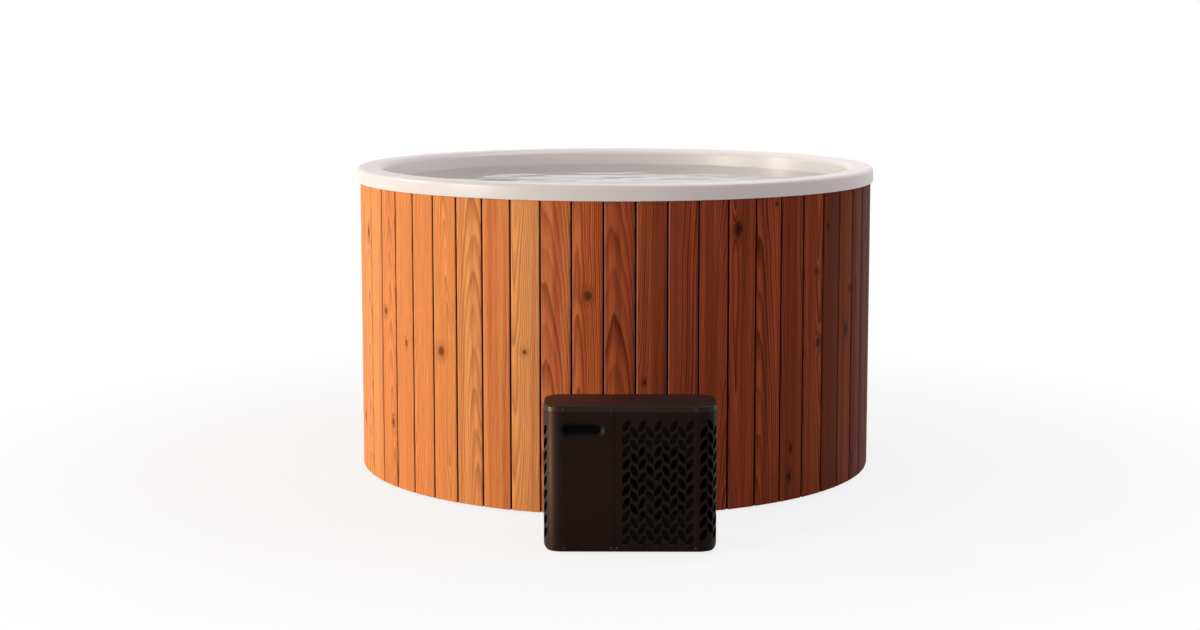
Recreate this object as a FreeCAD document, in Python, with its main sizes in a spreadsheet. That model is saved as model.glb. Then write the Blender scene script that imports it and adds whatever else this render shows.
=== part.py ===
import FreeCAD, Part
import math
import os
import re

import Sketcher

# A round hot tub: a moulded shell in a ring of upright tongued staves, and beside it the heat
# pump that warms its water. Millimetres and degrees. The tub's axis is Z, the floor is Z = 0,
# and the front, where the heat pump stands, is towards -Y.

SIZES = {
    # Ring of staves
    "tub_radius": 890,
    "tub_height": 1040,
    "stave_count": 56,
    "stave_turn": 0.875,
    "stave_thickness": 26,
    "stave_gap": 5,
    "stave_back_gap": 0.8,
    "stave_bevel": 2.5,
    "stave_face": 10,
    "tongue_thickness": 7,
    "tongue_reach": 6,
    "groove_depth": 7.5,
    "groove_slack": 1.2,
    "stave_floor_gap": 6,
    "stave_top_gap": 4,
    "screw_radius": 2.5,
    "screw_head_radius": 5,
    "screw_head_height": 3,
    "screw_bite": 14,
    # Moulded shell
    "shell_wall": 8,
    "rim_overhang": 10,
    "rim_width": 84,
    "rim_drop": 50,
    "rim_outer_round": 12,
    "rim_inner_round": 22,
    "lip_round": 3,
    "seat_depth": 478,
    "wall_lean": 46,
    "seat_round": 40,
    "nose_round": 30,
    "well_radius": 420,
    "well_round": 40,
    # Timber frame and floor
    "ring_height": 36,
    "ring_width": 24,
    "ring_clearance": 0.3,
    "middle_ring_height": 480,
    "post_count": 8,
    "post_width": 45,
    "post_inset": 1,
    "bearer_width": 45,
    "bearer_height": 70,
    "bearer_spacing": 320,
    "bearer_end_gap": 8,
    "board_thickness": 18,
    "pad_thickness": 32,
    "pad_radius": 380,
    "prop_count": 6,
    "prop_side": 45,
    "prop_circle": 600,
    "blanket_thickness": 10,
    "blanket_gap": 0.3,
    "blanket_low": 60,
    "blanket_high": 80,
    # Water fittings between the tub and the heat pump
    "suction_height": 215,
    "return_height": 312,
    "pipe_radius": 20,
    "pipe_bore": 16,
    "pipe_slack": 0.3,
    "spigot_radius": 19,
    "spigot_length": 40,
    "spigot_collar": 8,
    "flange_radius": 40,
    "flange_depth": 12,
    "gasket_thickness": 2,
    "nut_circle": 36,
    "nut_thickness": 16,
    "grommet_wall": 5,
    "grommet_stand": 6,
    "jet_ball": 17,
    "jet_slack": 0.3,
    "jet_bore": 7,
    "jet_mouth": 13,
    "jet_ring_radius": 28,
    "grate_height": 16,
    "grate_wall": 3,
    "grate_slots": 10,
    "grate_slot_width": 5,
    # Drain and its ball valve
    "drain_radius": 24,
    "drain_bore": 18,
    "drain_height": 40,
    "drain_bend": 44,
    "drain_tail": 92,
    "drain_flange_radius": 42,
    "drain_flange_height": 5,
    "drain_nut_circle": 38,
    "drain_nut_thickness": 12,
    "drain_well": 48,
    "coupling_wall": 5,
    "coupling_length": 14,
    "valve_length": 80,
    "valve_radius": 36,
    "valve_stand": 20,
    "ball_radius": 26,
    "ball_slack": 0.4,
    "stem_radius": 7,
    "stem_rise": 18,
    "lever_length": 95,
    "lever_width": 20,
    "lever_height": 6,
    "outlet_length": 40,
    # Heat pump casing
    "unit_x": 43,
    "unit_gap": 235,
    "unit_depth": 200,
    "unit_height": 435,
    "unit_corner": 56,
    "panel_wall": 3,
    "panel_gap": 0.8,
    "inner_fit": 0.3,
    "control_width": 207,
    "corner_split": 16,
    "cover_height": 16,
    "cover_round": 4,
    "rail_reach": 14,
    "foot_height": 8,
    "foot_radius": 16,
    "foot_inset": 62,
    "base_round": 20,
    "pan_wall": 2,
    "pan_flange": 20,
    "case_screw_inset": 61,
    "case_screw_head": 4,
    "case_screw_proud": 1.5,
    "case_screw_radius": 2,
    # Pointed air slots
    "slot_length": 40,
    "slot_width": 18,
    "slot_tilt": 28,
    "slot_across": 23,
    "slot_rise": 38,
    "slot_border": 20,
    # Display
    "display_inset": 115,
    "display_drop": 68,
    "display_width": 130,
    "display_high": 45,
    "display_depth": 14,
    "display_slope": 35,
    "display_edge": 1.5,
    "display_fit": 0.3,
    "glass_thickness": 2,
    "driver_thickness": 10,
    # Heat pump works
    "fan_radius": 104,
    "fan_tip_gap": 5,
    "shroud_wall": 3,
    "fan_margin": 9,
    "fan_inset": 14,
    "fan_depth": 36,
    "hub_radius": 32,
    "blade_count": 5,
    "blade_pitch": 32,
    "blade_chord": 84,
    "blade_thickness": 3,
    "shaft_radius": 4,
    "shaft_slack": 0.08,
    "motor_radius": 36,
    "motor_length": 50,
    "motor_gap": 8,
    "bracket_width": 70,
    "bracket_thickness": 3,
    "coil_thickness": 30,
    "coil_gap": 8,
    "guard_thickness": 2,
    "guard_lap": 10,
    "guard_pitch": 18,
    "guard_bar": 6,
    "guard_columns": 3,
    "partition_wall": 2,
    "frame_gap": 0.8,
    "compressor_radius": 42,
    "compressor_height": 205,
    "compressor_inset": 60,
    "compressor_front": 65,
    "compressor_round": 24,
    "compressor_foot": 48,
    "compressor_plate": 4,
    "mount_height": 16,
    "mount_radius": 9,
    "mount_circle": 36,
    "exchanger_radius": 30,
    "exchanger_height": 340,
    "exchanger_rear": 55,
    "union_circle": 27,
    "copper_radius": 5,
    "copper_bend": 15,
    "copper_top": 362,
    "liquid_height": 60,
    "vapour_height": 120,
    "vapour_lane": 30,
    "board_low": 200,
    "board_high": 340,
    "board_deep": 30,
    "board_length": 60,
    "gland_inset": 60,
    "gland_height": 60,
    "gland_radius": 10,
    "gland_flange": 14,
    "gland_stand": 18,
}

Vector = FreeCAD.Vector
UPRIGHT = FreeCAD.Rotation()
# A turned placement sends a piece's own Z axis to the front, the back or the right
TO_FRONT = FreeCAD.Rotation(Vector(1, 0, 0), 90)
TO_BACK = FreeCAD.Rotation(Vector(1, 0, 0), -90)
TO_RIGHT = FreeCAD.Rotation(Vector(0, 1, 0), 90)

doc = FreeCAD.newDocument("HotTub")
sheet = doc.addObject("Spreadsheet::Sheet", "Sizes")
for row, (alias, size) in enumerate(SIZES.items(), start=1):
    sheet.set(f"A{row}", alias)
    sheet.set(f"B{row}", str(size))
    sheet.setAlias(f"B{row}", alias)
doc.recompute()

pieces = []


def formula(text):
    """An expression in which each size is looked up in the sheet."""
    return re.sub(r"[a-z_]\w*", lambda word: f"Sizes.{word[0]}" if word[0] in SIZES else word[0], str(text))


def value(text):
    """What an expression comes to, as a number."""
    result = sheet.evalExpression(formula(text))
    return float(getattr(result, "Value", result))


def bind(thing, expressions):
    """Tie properties of an object to sizes."""
    for path, text in expressions.items():
        thing.setExpression(path, formula(text))
    return thing


def place(thing, x="0", y="0", z="0", turn=UPRIGHT):
    """Put an object's own origin at a point, turned."""
    thing.Placement = FreeCAD.Placement(Vector(), turn)
    return bind(thing, {"Placement.Base.x": x, "Placement.Base.y": y, "Placement.Base.z": z})


def keep(thing, label):
    """Name an object as a finished sub-part."""
    thing.Label = label
    pieces.append(thing)
    return thing


# Part primitives and booleans


def box(name, x, y, z):
    """A box between the low and high bounds given for each axis."""
    block = doc.addObject("Part::Box", name)
    for side, axis, (low, high) in (("Length", "x", x), ("Width", "y", y), ("Height", "z", z)):
        bind(block, {side: f"({high}) - ({low})", f"Placement.Base.{axis}": low})
    return block


def rod(name, radius, length, x="0", y="0", z="0", turn=UPRIGHT):
    """A cylinder that starts at a point."""
    cylinder = doc.addObject("Part::Cylinder", name)
    bind(cylinder, {"Radius": radius, "Height": length})
    return place(cylinder, x, y, z, turn)


def hexagon(name, circle, length, x="0", y="0", z="0", turn=UPRIGHT):
    """A six-sided bar that starts at a point."""
    prism = doc.addObject("Part::Prism", name)
    prism.Polygon = 6
    bind(prism, {"Circumradius": circle, "Height": length})
    return place(prism, x, y, z, turn)


def ball(name, radius, x="0", y="0", z="0"):
    """A sphere about a point."""
    sphere = doc.addObject("Part::Sphere", name)
    bind(sphere, {"Radius": radius})
    return place(sphere, x, y, z)


def cut(name, base, *tools):
    """A shape with one tool after another taken out of it."""
    for tool in tools:
        result = doc.addObject("Part::Cut", name)
        result.Base = base
        result.Tool = tool
        base = result
    return base


def common(name, base, tool):
    """The part of one shape that lies in another."""
    result = doc.addObject("Part::Common", name)
    result.Base = base
    result.Tool = tool
    return result


def fuse(name, *shapes):
    """Shapes made into one solid."""
    result = doc.addObject("Part::MultiFuse", name)
    result.Shapes = list(shapes)
    return result


def group(name, *shapes):
    """Separate solids that share a node."""
    result = doc.addObject("Part::Compound", name)
    result.Links = list(shapes)
    return result


def tube(name, radius, bore, length, x="0", y="0", z="0", turn=UPRIGHT):
    """A hollow cylinder."""
    outside = rod(f"{name}_outside", radius, length, x, y, z, turn)
    return cut(name, outside, rod(f"{name}_bore", bore, length, x, y, z, turn))


# PartDesign bodies


def new_body(name):
    body = doc.addObject("PartDesign::Body", name)
    body.AllowCompound = True
    return body


def origin_part(body, role):
    return next(part for part in body.Origin.OriginFeatures if part.Role == role)


def new_sketch(body, plane, lift="0"):
    """A sketch on one of the body's own planes, lifted along the plane's normal."""
    sketch = body.newObject("Sketcher::SketchObject", "Sketch")
    sketch.AttachmentSupport = [(origin_part(body, plane), "")]
    sketch.MapMode = "FlatFace"
    return bind(sketch, {"AttachmentOffset.Base.z": lift})


def pin_point(sketch, element, end, x, y):
    """Hold a point of a sketch at its place."""
    for kind, text in (("DistanceX", x), ("DistanceY", y)):
        rule = sketch.addConstraint(Sketcher.Constraint(kind, -1, 1, element, end, value(text)))
        bind(sketch, {f"Constraints[{rule}]": text})


def draw_outline(sketch, points):
    """A closed outline of straight sides."""
    corners = [Vector(value(x), value(y), 0) for x, y in points]
    count = len(points)
    for index in range(count):
        sketch.addGeometry(Part.LineSegment(corners[index], corners[(index + 1) % count]))
    for index in range(count):
        sketch.addConstraint(Sketcher.Constraint("Coincident", index, 2, (index + 1) % count, 1))
    for index, (x, y) in enumerate(points):
        pin_point(sketch, index, 1, x, y)


def draw_circle(sketch, x, y, radius):
    """A circle about a point."""
    circle = Part.Circle(Vector(value(x), value(y), 0), Vector(0, 0, 1), value(radius))
    index = sketch.addGeometry(circle)
    pin_point(sketch, index, 3, x, y)
    rule = sketch.addConstraint(Sketcher.Constraint("Radius", index, value(radius)))
    bind(sketch, {f"Constraints[{rule}]": radius})


def draw_stadium(sketch, x, y, width, height):
    """A slot with round ends: two arcs joined by two straight sides."""
    radius = value(height) / 2
    reach = f"(({width}) - ({height})) / 2"
    right = Vector(value(f"{x} + {reach}"), value(y), 0)
    left = Vector(value(f"{x} - {reach}"), value(y), 0)
    up = Vector(0, radius, 0)
    axis = Vector(0, 0, 1)
    sketch.addGeometry(Part.ArcOfCircle(Part.Circle(right, axis, radius), -math.pi / 2, math.pi / 2))
    sketch.addGeometry(Part.LineSegment(right + up, left + up))
    sketch.addGeometry(Part.ArcOfCircle(Part.Circle(left, axis, radius), math.pi / 2, 3 * math.pi / 2))
    sketch.addGeometry(Part.LineSegment(left - up, right - up))
    for index in range(4):
        sketch.addConstraint(Sketcher.Constraint("Tangent", index, 2, (index + 1) % 4, 1))
    pin_point(sketch, 0, 3, f"{x} + {reach}", y)
    pin_point(sketch, 2, 3, f"{x} - {reach}", y)
    rule = sketch.addConstraint(Sketcher.Constraint("Radius", 0, radius))
    bind(sketch, {f"Constraints[{rule}]": f"({height}) / 2"})


def add_pad(body, sketch, length):
    pad = body.newObject("PartDesign::Pad", "Pad")
    pad.Profile = sketch
    return bind(pad, {"Length": length})


def repeat_round(body, features, count, spread="360"):
    """Copy features in a ring, or over a part of one, about the body's Z axis."""
    pattern = body.newObject("PartDesign::PolarPattern", "PolarPattern")
    pattern.Originals = list(features)
    pattern.Axis = (origin_part(body, "Z_Axis"), [""])
    bind(pattern, {"Angle": spread, "Occurrences": count})
    body.Tip = pattern


def round_edges(body, radius, chosen):
    """Round those edges of the body's last feature that a test chooses."""
    doc.recompute()
    base = body.Tip
    names = [f"Edge{number}" for number, edge in enumerate(base.Shape.Edges, start=1) if chosen(edge)]
    if not names:
        raise ValueError(f"{body.Name} has no edge to round")
    fillet = body.newObject("PartDesign::Fillet", "Fillet")
    fillet.Base = (base, names)
    bind(fillet, {"Radius": radius})


def ring_edges(*rings):
    """A test for the circular edges with a given radius and height."""
    wanted = [(value(radius), value(height)) for radius, height in rings]

    def chosen(edge):
        if not isinstance(edge.Curve, Part.Circle):
            return False
        found = (edge.Curve.Radius, edge.Curve.Center.z)
        return any(math.dist(found, ring) < 0.01 for ring in wanted)

    return chosen


def is_upright(edge):
    """Whether an edge is a straight line along Z."""
    return isinstance(edge.Curve, Part.Line) and abs(edge.Curve.Direction.z) > 0.999


def turned(name, points):
    """A body of revolution from an outline of radius and height."""
    body = new_body(name)
    sketch = new_sketch(body, "XZ_Plane")
    draw_outline(sketch, points)
    revolution = body.newObject("PartDesign::Revolution", "Revolution")
    revolution.Profile = sketch
    revolution.ReferenceAxis = (origin_part(body, "Z_Axis"), [""])
    revolution.Angle = 360
    return body


def bars_round(name, points, low, high, count, spread="360"):
    """Upright bars of one section, in a ring or a part of one about Z. A count of None gives one bar."""
    body = new_body(name)
    sketch = new_sketch(body, "XY_Plane", low)
    draw_outline(sketch, points)
    bar = add_pad(body, sketch, f"({high}) - ({low})")
    if count:
        repeat_round(body, [bar], count, spread)
    return body


def turn_round(body, angle):
    """Turn a body about Z."""
    body.Placement = FreeCAD.Placement(Vector(), FreeCAD.Rotation(Vector(0, 0, 1), 1))
    return bind(body, {"Placement.Rotation.Angle": angle})


def bent_tube(name, points, radius, bore, bend):
    """A pipe along straight runs joined by arcs of one bend radius."""
    corners = [Vector(*(value(part) for part in point)) for point in points]
    bend_radius = value(bend)
    edges = []
    start = corners[0]
    for before, corner, after in zip(corners, corners[1:], corners[2:]):
        inward = (before - corner).normalize()
        outward = (after - corner).normalize()
        half = inward.getAngle(outward) / 2
        trim = bend_radius / math.tan(half)
        first = corner + inward * trim
        last = corner + outward * trim
        middle = corner + (inward + outward).normalize() * (bend_radius / math.sin(half) - bend_radius)
        edges.append(Part.LineSegment(start, first).toShape())
        edges.append(Part.Arc(first, middle, last).toShape())
        start = last
    edges.append(Part.LineSegment(start, corners[-1]).toShape())
    path = Part.Wire(edges)
    along = corners[1] - corners[0]

    def swept(section):
        ring = Part.Wire(Part.makeCircle(value(section), corners[0], along))
        return path.makePipeShell([ring], True, False)

    pipe = doc.addObject("Part::Feature", name)
    pipe.Shape = swept(radius).cut(swept(bore)) if bore else swept(radius)
    return pipe


# Heights and radii that several pieces share
RIM_RADIUS = "(tub_radius + rim_overhang)"
RIM_INNER = "(tub_radius + rim_overhang - rim_width)"
RIM_UNDER = "(tub_height - shell_wall)"
SEAT_Z = "(tub_height - seat_depth)"
SEAT_UNDER = "(tub_height - seat_depth - shell_wall)"
WALL_FOOT = "(tub_radius + rim_overhang - rim_width - wall_lean)"
BASE_TOP = "(bearer_height + board_thickness)"
PAD_TOP = "(bearer_height + board_thickness + pad_thickness)"
WELL_FLOOR = "(bearer_height + board_thickness + pad_thickness + shell_wall)"
RING_OUTER = "(tub_radius - stave_thickness - ring_clearance)"
RING_INNER = "(tub_radius - stave_thickness - ring_clearance - ring_width)"
TOP_RING = "(tub_height - shell_wall - ring_height)"

# The two water pipes leave through the middle of the stave left of the front one, and the
# drain through the middle of a stave at the back
PIPE_X = "(-tub_radius * sin(360 / stave_count - stave_turn))"
DRAIN_X = "(tub_radius * sin(720 / stave_count - stave_turn))"
LINES = (("suction", "suction_height"), ("return", "return_height"))

# Moulded shell: foot well, ring seat, leaning wall and a broad rim with a turned-down lip
shell = turned("shell_moulding", (
    ("0", WELL_FLOOR),
    ("well_radius", WELL_FLOOR),
    ("well_radius", SEAT_Z),
    (WALL_FOOT, SEAT_Z),
    (RIM_INNER, "tub_height"),
    (RIM_RADIUS, "tub_height"),
    (RIM_RADIUS, "tub_height - rim_drop"),
    (f"{RIM_RADIUS} - shell_wall", "tub_height - rim_drop"),
    (f"{RIM_RADIUS} - shell_wall", RIM_UNDER),
    (f"{RIM_INNER} + shell_wall", RIM_UNDER),
    (f"{WALL_FOOT} + shell_wall", SEAT_UNDER),
    ("well_radius + shell_wall", SEAT_UNDER),
    ("well_radius + shell_wall", PAD_TOP),
    ("0", PAD_TOP),
))
for radius, rings in (
    ("rim_outer_round", [(RIM_RADIUS, "tub_height")]),
    ("rim_inner_round", [(RIM_INNER, "tub_height")]),
    ("rim_inner_round - shell_wall", [(f"{RIM_INNER} + shell_wall", RIM_UNDER)]),
    ("lip_round", [(RIM_RADIUS, "tub_height - rim_drop")]),
    ("seat_round", [(WALL_FOOT, SEAT_Z)]),
    ("seat_round + shell_wall", [(f"{WALL_FOOT} + shell_wall", SEAT_UNDER)]),
    ("nose_round", [("well_radius", SEAT_Z)]),
    ("nose_round - shell_wall", [("well_radius + shell_wall", SEAT_UNDER)]),
    ("well_round", [("well_radius", WELL_FLOOR)]),
    ("well_round + shell_wall", [("well_radius + shell_wall", PAD_TOP)]),
):
    round_edges(shell, radius, ring_edges(*rings))
PIPE_HOLE = "pipe_radius + pipe_slack"
shell_holes = [
    rod(f"{line}_shell_hole", PIPE_HOLE, "well_radius + shell_wall", PIPE_X, "0", height, TO_FRONT)
    for line, height in LINES
]
drain_hole = rod("drain_shell_hole", "drain_radius + pipe_slack", f"{WELL_FLOOR} + shell_wall", DRAIN_X)
keep(cut("shell_drilled", shell, *shell_holes, drain_hole), "tub_shell")

# Staves: flat boards with a tongue on one edge, a groove on the other, and a wide open joint
# on the face. Each edge follows the ray between two neighbours.
SLOPE = "tan(180 / stave_count)"
FACE = "tub_radius"
BEVEL = "(tub_radius - stave_bevel)"
TONGUE_TOP = "(tub_radius - stave_face)"
TONGUE_LOW = "(tub_radius - stave_face - tongue_thickness)"
GROOVE_TOP = "(tub_radius - stave_face + groove_slack)"
GROOVE_LOW = "(tub_radius - stave_face - tongue_thickness - groove_slack)"
BACK = "(tub_radius - stave_thickness)"
STAVE_TOP = "(tub_height - shell_wall - stave_top_gap)"
STAVE_SECTION = (
    (f"{FACE} * {SLOPE} - stave_gap / 2 - stave_bevel", FACE),
    (f"{BEVEL} * {SLOPE} - stave_gap / 2", BEVEL),
    (f"{TONGUE_TOP} * {SLOPE} - stave_gap / 2", TONGUE_TOP),
    (f"{TONGUE_TOP} * {SLOPE} + tongue_reach", TONGUE_TOP),
    (f"{TONGUE_LOW} * {SLOPE} + tongue_reach", TONGUE_LOW),
    (f"{TONGUE_LOW} * {SLOPE} - stave_back_gap / 2", TONGUE_LOW),
    (f"{BACK} * {SLOPE} - stave_back_gap / 2", BACK),
    (f"stave_back_gap / 2 - {BACK} * {SLOPE}", BACK),
    (f"stave_back_gap / 2 - {GROOVE_LOW} * {SLOPE}", GROOVE_LOW),
    (f"groove_depth - {GROOVE_LOW} * {SLOPE}", GROOVE_LOW),
    (f"groove_depth - {GROOVE_TOP} * {SLOPE}", GROOVE_TOP),
    (f"stave_gap / 2 - {GROOVE_TOP} * {SLOPE}", GROOVE_TOP),
    (f"stave_gap / 2 - {BEVEL} * {SLOPE}", BEVEL),
    (f"stave_gap / 2 + stave_bevel - {FACE} * {SLOPE}", FACE),
)
STEP = "360 / stave_count"


def stave_arc(name, first, count=None):
    """Staves side by side, or one alone, counted round from the one at the back."""
    arc = bars_round(name, STAVE_SECTION, "stave_floor_gap", STAVE_TOP, count, f"({count} - 1) * {STEP}")
    return turn_round(arc, f"stave_turn + ({first}) * {STEP}")


# The pipes pass through one stave beside the front one, and the drain through one near the back
left_arc = stave_arc("left_stave_arc", "-1", "stave_count / 2")
right_arc = stave_arc("right_stave_arc", "stave_count / 2", "stave_count / 2 - 2")
keep(group("stave_set", left_arc, right_arc), "staves")
SLEEVE_HOLE = "pipe_radius + grommet_wall + 2 * pipe_slack"
DRAIN_SLEEVE_HOLE = "drain_radius + grommet_wall + 2 * pipe_slack"
stave_holes = [
    rod(f"{line}_stave_hole", SLEEVE_HOLE, "tub_radius + stave_thickness", PIPE_X, "0", height, TO_FRONT)
    for line, height in LINES
]
drain_exit = rod("drain_stave_hole", DRAIN_SLEEVE_HOLE, "tub_radius + stave_thickness", DRAIN_X, "0",
                 "drain_height", TO_BACK)
pipe_stave = cut("pipe_stave_drilled", stave_arc("pipe_stave", "stave_count / 2 - 1"), *stave_holes)
drain_stave = cut("drain_stave_drilled", stave_arc("drain_stave", "-2"), drain_exit)
keep(group("pierced_set", pipe_stave, drain_stave), "pierced_staves")

# Timber rings that the staves are screwed to
RING_HEIGHTS = (("bottom_ring", BASE_TOP), ("middle_ring", "middle_ring_height"), ("top_ring", TOP_RING))
for label, low in RING_HEIGHTS:
    keep(tube(f"{label}_hoop", RING_OUTER, RING_INNER, "ring_height", z=low), label)

# Posts that stand between the rings
POST_SECTION = (
    ("-post_width / 2", f"{RING_INNER} + post_inset"),
    ("post_width / 2", f"{RING_INNER} + post_inset"),
    ("post_width / 2", f"sqrt(({RING_OUTER} - post_inset)^2 - (post_width / 2)^2)"),
    ("-post_width / 2", f"sqrt(({RING_OUTER} - post_inset)^2 - (post_width / 2)^2)"),
)
for label, low, high in (
    ("lower_posts", f"{BASE_TOP} + ring_height", "middle_ring_height"),
    ("upper_posts", "middle_ring_height + ring_height", TOP_RING),
):
    posts = bars_round(f"{label}_ring", POST_SECTION, low, high, "post_count")
    keep(turn_round(posts, "180 / post_count"), label)

# Screws driven outwards through the rings into the back of every stave
screws = new_body("stave_screw_ring")
shank = new_sketch(screws, "XZ_Plane", f"-({RING_OUTER} + screw_bite)")
head = new_sketch(screws, "XZ_Plane", f"-{RING_INNER}")
for label, low in RING_HEIGHTS:
    draw_circle(shank, "0", f"{low} + ring_height / 2", "screw_radius")
    draw_circle(head, "0", f"{low} + ring_height / 2", "screw_head_radius")
screw_parts = [
    add_pad(screws, shank, "ring_width + screw_bite"),
    add_pad(screws, head, "screw_head_height"),
]
repeat_round(screws, screw_parts, "stave_count")
keep(turn_round(screws, "stave_turn"), "stave_screws")

# Base board, and the bearers that it lies on
NUT_WELL = rod("drain_nut_well", "drain_well", f"{PAD_TOP} + shell_wall", DRAIN_X)
keep(cut("board_drilled", rod("board_disc", RING_OUTER, "board_thickness", z="bearer_height"), NUT_WELL),
     "base_board")
bearers = []
for step in (-2, -1, 0, 1, 2):
    middle = f"{step} * bearer_spacing"
    reach = f"({RING_OUTER} - bearer_end_gap)^2 - ({abs(step)} * bearer_spacing + bearer_width / 2)^2"
    bearers.append(box(
        "bearer",
        (f"{middle} - bearer_width / 2", f"{middle} + bearer_width / 2"),
        (f"-sqrt({reach})", f"sqrt({reach})"),
        ("0", "bearer_height"),
    ))
keep(group("bearer_set", *bearers), "floor_bearers")

# Foam pad under the foot well, props under the seat, and foam round the wall
keep(cut("pad_drilled", rod("pad_disc", "pad_radius", "pad_thickness", z=BASE_TOP), NUT_WELL), "floor_pad")
PROP_SECTION = (
    ("-prop_side / 2", "prop_circle - prop_side / 2"),
    ("prop_side / 2", "prop_circle - prop_side / 2"),
    ("prop_side / 2", "prop_circle + prop_side / 2"),
    ("-prop_side / 2", "prop_circle + prop_side / 2"),
)
props = bars_round("seat_prop_ring", PROP_SECTION, BASE_TOP, SEAT_UNDER, "prop_count")
props.Placement = FreeCAD.Placement(Vector(), FreeCAD.Rotation(Vector(0, 0, 1), 180 / SIZES["prop_count"]))
bind(props, {"Placement.Rotation.Angle": "180 / prop_count"})
keep(props, "seat_props")
BLANKET_LOW = f"({SEAT_Z} + blanket_low)"
BLANKET_HIGH = "(tub_height - blanket_high)"


def wall_back(height):
    """The radius of the wall's dry side at a height."""
    return f"({WALL_FOOT} + shell_wall + wall_lean * ({height} - {SEAT_UNDER}) / seat_depth)"


keep(turned("blanket_wrap", (
    (f"{wall_back(BLANKET_LOW)} + blanket_gap", BLANKET_LOW),
    (f"{wall_back(BLANKET_LOW)} + blanket_gap + blanket_thickness", BLANKET_LOW),
    (f"{wall_back(BLANKET_HIGH)} + blanket_gap + blanket_thickness", BLANKET_HIGH),
    (f"{wall_back(BLANKET_HIGH)} + blanket_gap", BLANKET_HIGH),
)), "insulation_blanket")

# Suction and return fittings: a flange in the foot well, curved to its wall, on a straight pipe
# that runs out through the staves and ends in a hose spigot
WELL_Y = f"sqrt(well_radius^2 - {PIPE_X}^2)"
FLANGE_Y = f"({WELL_Y} - flange_depth)"
COLLAR_END = "(tub_radius + spigot_collar)"
SPIGOT_END = "(tub_radius + spigot_collar + spigot_length)"
gaskets = []
nuts = []
grommets = []
for line, height in LINES:
    spot = (PIPE_X, f"-{FLANGE_Y}", height, TO_FRONT)
    flange = common(f"{line}_flange", rod(f"{line}_disc", "flange_radius", "3 * flange_depth", *spot),
                    rod(f"{line}_seat", "well_radius - gasket_thickness", "tub_height"))
    pipe = rod(f"{line}_pipe", "pipe_radius", f"{COLLAR_END} - {FLANGE_Y}", *spot)
    tail = rod(f"{line}_tail", "spigot_radius", f"{SPIGOT_END} - {FLANGE_Y}", *spot)
    fitting = cut(f"{line}_bored", fuse(f"{line}_body", flange, pipe, tail),
                  rod(f"{line}_bore", "pipe_bore", f"{SPIGOT_END} - {FLANGE_Y}", *spot))
    if line == "return":
        fitting = cut("return_socketed", fitting, ball("jet_socket", "jet_ball + jet_slack", *spot[:3]))
    keep(fitting, f"{line}_fitting")
    packing_disc = rod(f"{line}_packing_disc", "flange_radius", "3 * flange_depth", *spot)
    packing_wall = tube(f"{line}_packing_wall", "well_radius", "well_radius - gasket_thickness", "tub_height")
    packing = common(f"{line}_packing", packing_disc, packing_wall)
    pipe_way = rod(f"{line}_pipe_way", PIPE_HOLE, f"{SPIGOT_END} - {FLANGE_Y}", *spot)
    gaskets.append(cut(f"{line}_gasket", packing, pipe_way))
    nut = hexagon(f"{line}_nut_blank", "nut_circle", "flange_depth + shell_wall + nut_thickness", *spot)
    nut_seat = rod(f"{line}_nut_seat", "well_radius + shell_wall", "tub_height")
    nuts.append(cut(f"{line}_nut", nut, nut_seat, pipe_way))
    sleeve_y = "-(tub_radius - stave_thickness - grommet_stand)"
    grommets.append(tube(
        f"{line}_grommet", "pipe_radius + grommet_wall + pipe_slack", PIPE_HOLE,
        "stave_thickness + 2 * grommet_stand", PIPE_X, sleeve_y, height, TO_FRONT))
keep(group("gasket_pair", *gaskets), "fitting_gaskets")
keep(group("nut_pair", *nuts), "fitting_nuts")

# Slotted dome over the suction flange
grate = turned("grate_dome", (
    ("0", "grate_height"),
    ("0", "grate_height - grate_wall"),
    ("flange_radius - grate_wall - grate_height / 2", "grate_height - grate_wall"),
    ("flange_radius - grate_wall", "grate_height / 2 - grate_wall"),
    ("flange_radius - grate_wall", "0"),
    ("flange_radius", "0"),
    ("flange_radius", "grate_height / 2"),
    ("flange_radius - grate_height / 2", "grate_height"),
))
slits = bars_round("grate_slits", (
    ("-grate_slot_width / 2", "2 * grate_slot_width"),
    ("grate_slot_width / 2", "2 * grate_slot_width"),
    ("grate_slot_width / 2", "flange_radius - grate_slot_width"),
    ("-grate_slot_width / 2", "flange_radius - grate_slot_width"),
), "grate_height / 2 - grate_wall", "2 * grate_height", "grate_slots")
keep(place(cut("grate_slotted", grate, slits), PIPE_X, f"-{FLANGE_Y}", "suction_height", TO_BACK),
     "suction_grate")

# Return jet: a ball with a nozzle, held against the flange by a screwed ring
JET_MOUTH_DEPTH = "sqrt((jet_ball + jet_slack)^2 - jet_mouth^2)"
ring_blank = rod("jet_ring_blank", "jet_ring_radius", JET_MOUTH_DEPTH)
keep(place(cut("jet_ring_bored", ring_blank, ball("jet_ring_seat", "jet_ball + jet_slack")),
           PIPE_X, f"-{FLANGE_Y}", "return_height", TO_BACK), "jet_ring")
nozzle = rod("jet_nozzle_bore", "jet_bore", "4 * jet_ball", z="-2 * jet_ball")
keep(place(cut("jet_ball_bored", ball("jet_ball_blank", "jet_ball"), nozzle),
           PIPE_X, f"-{FLANGE_Y}", "return_height", TO_BACK), "jet_eyeball")

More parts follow.
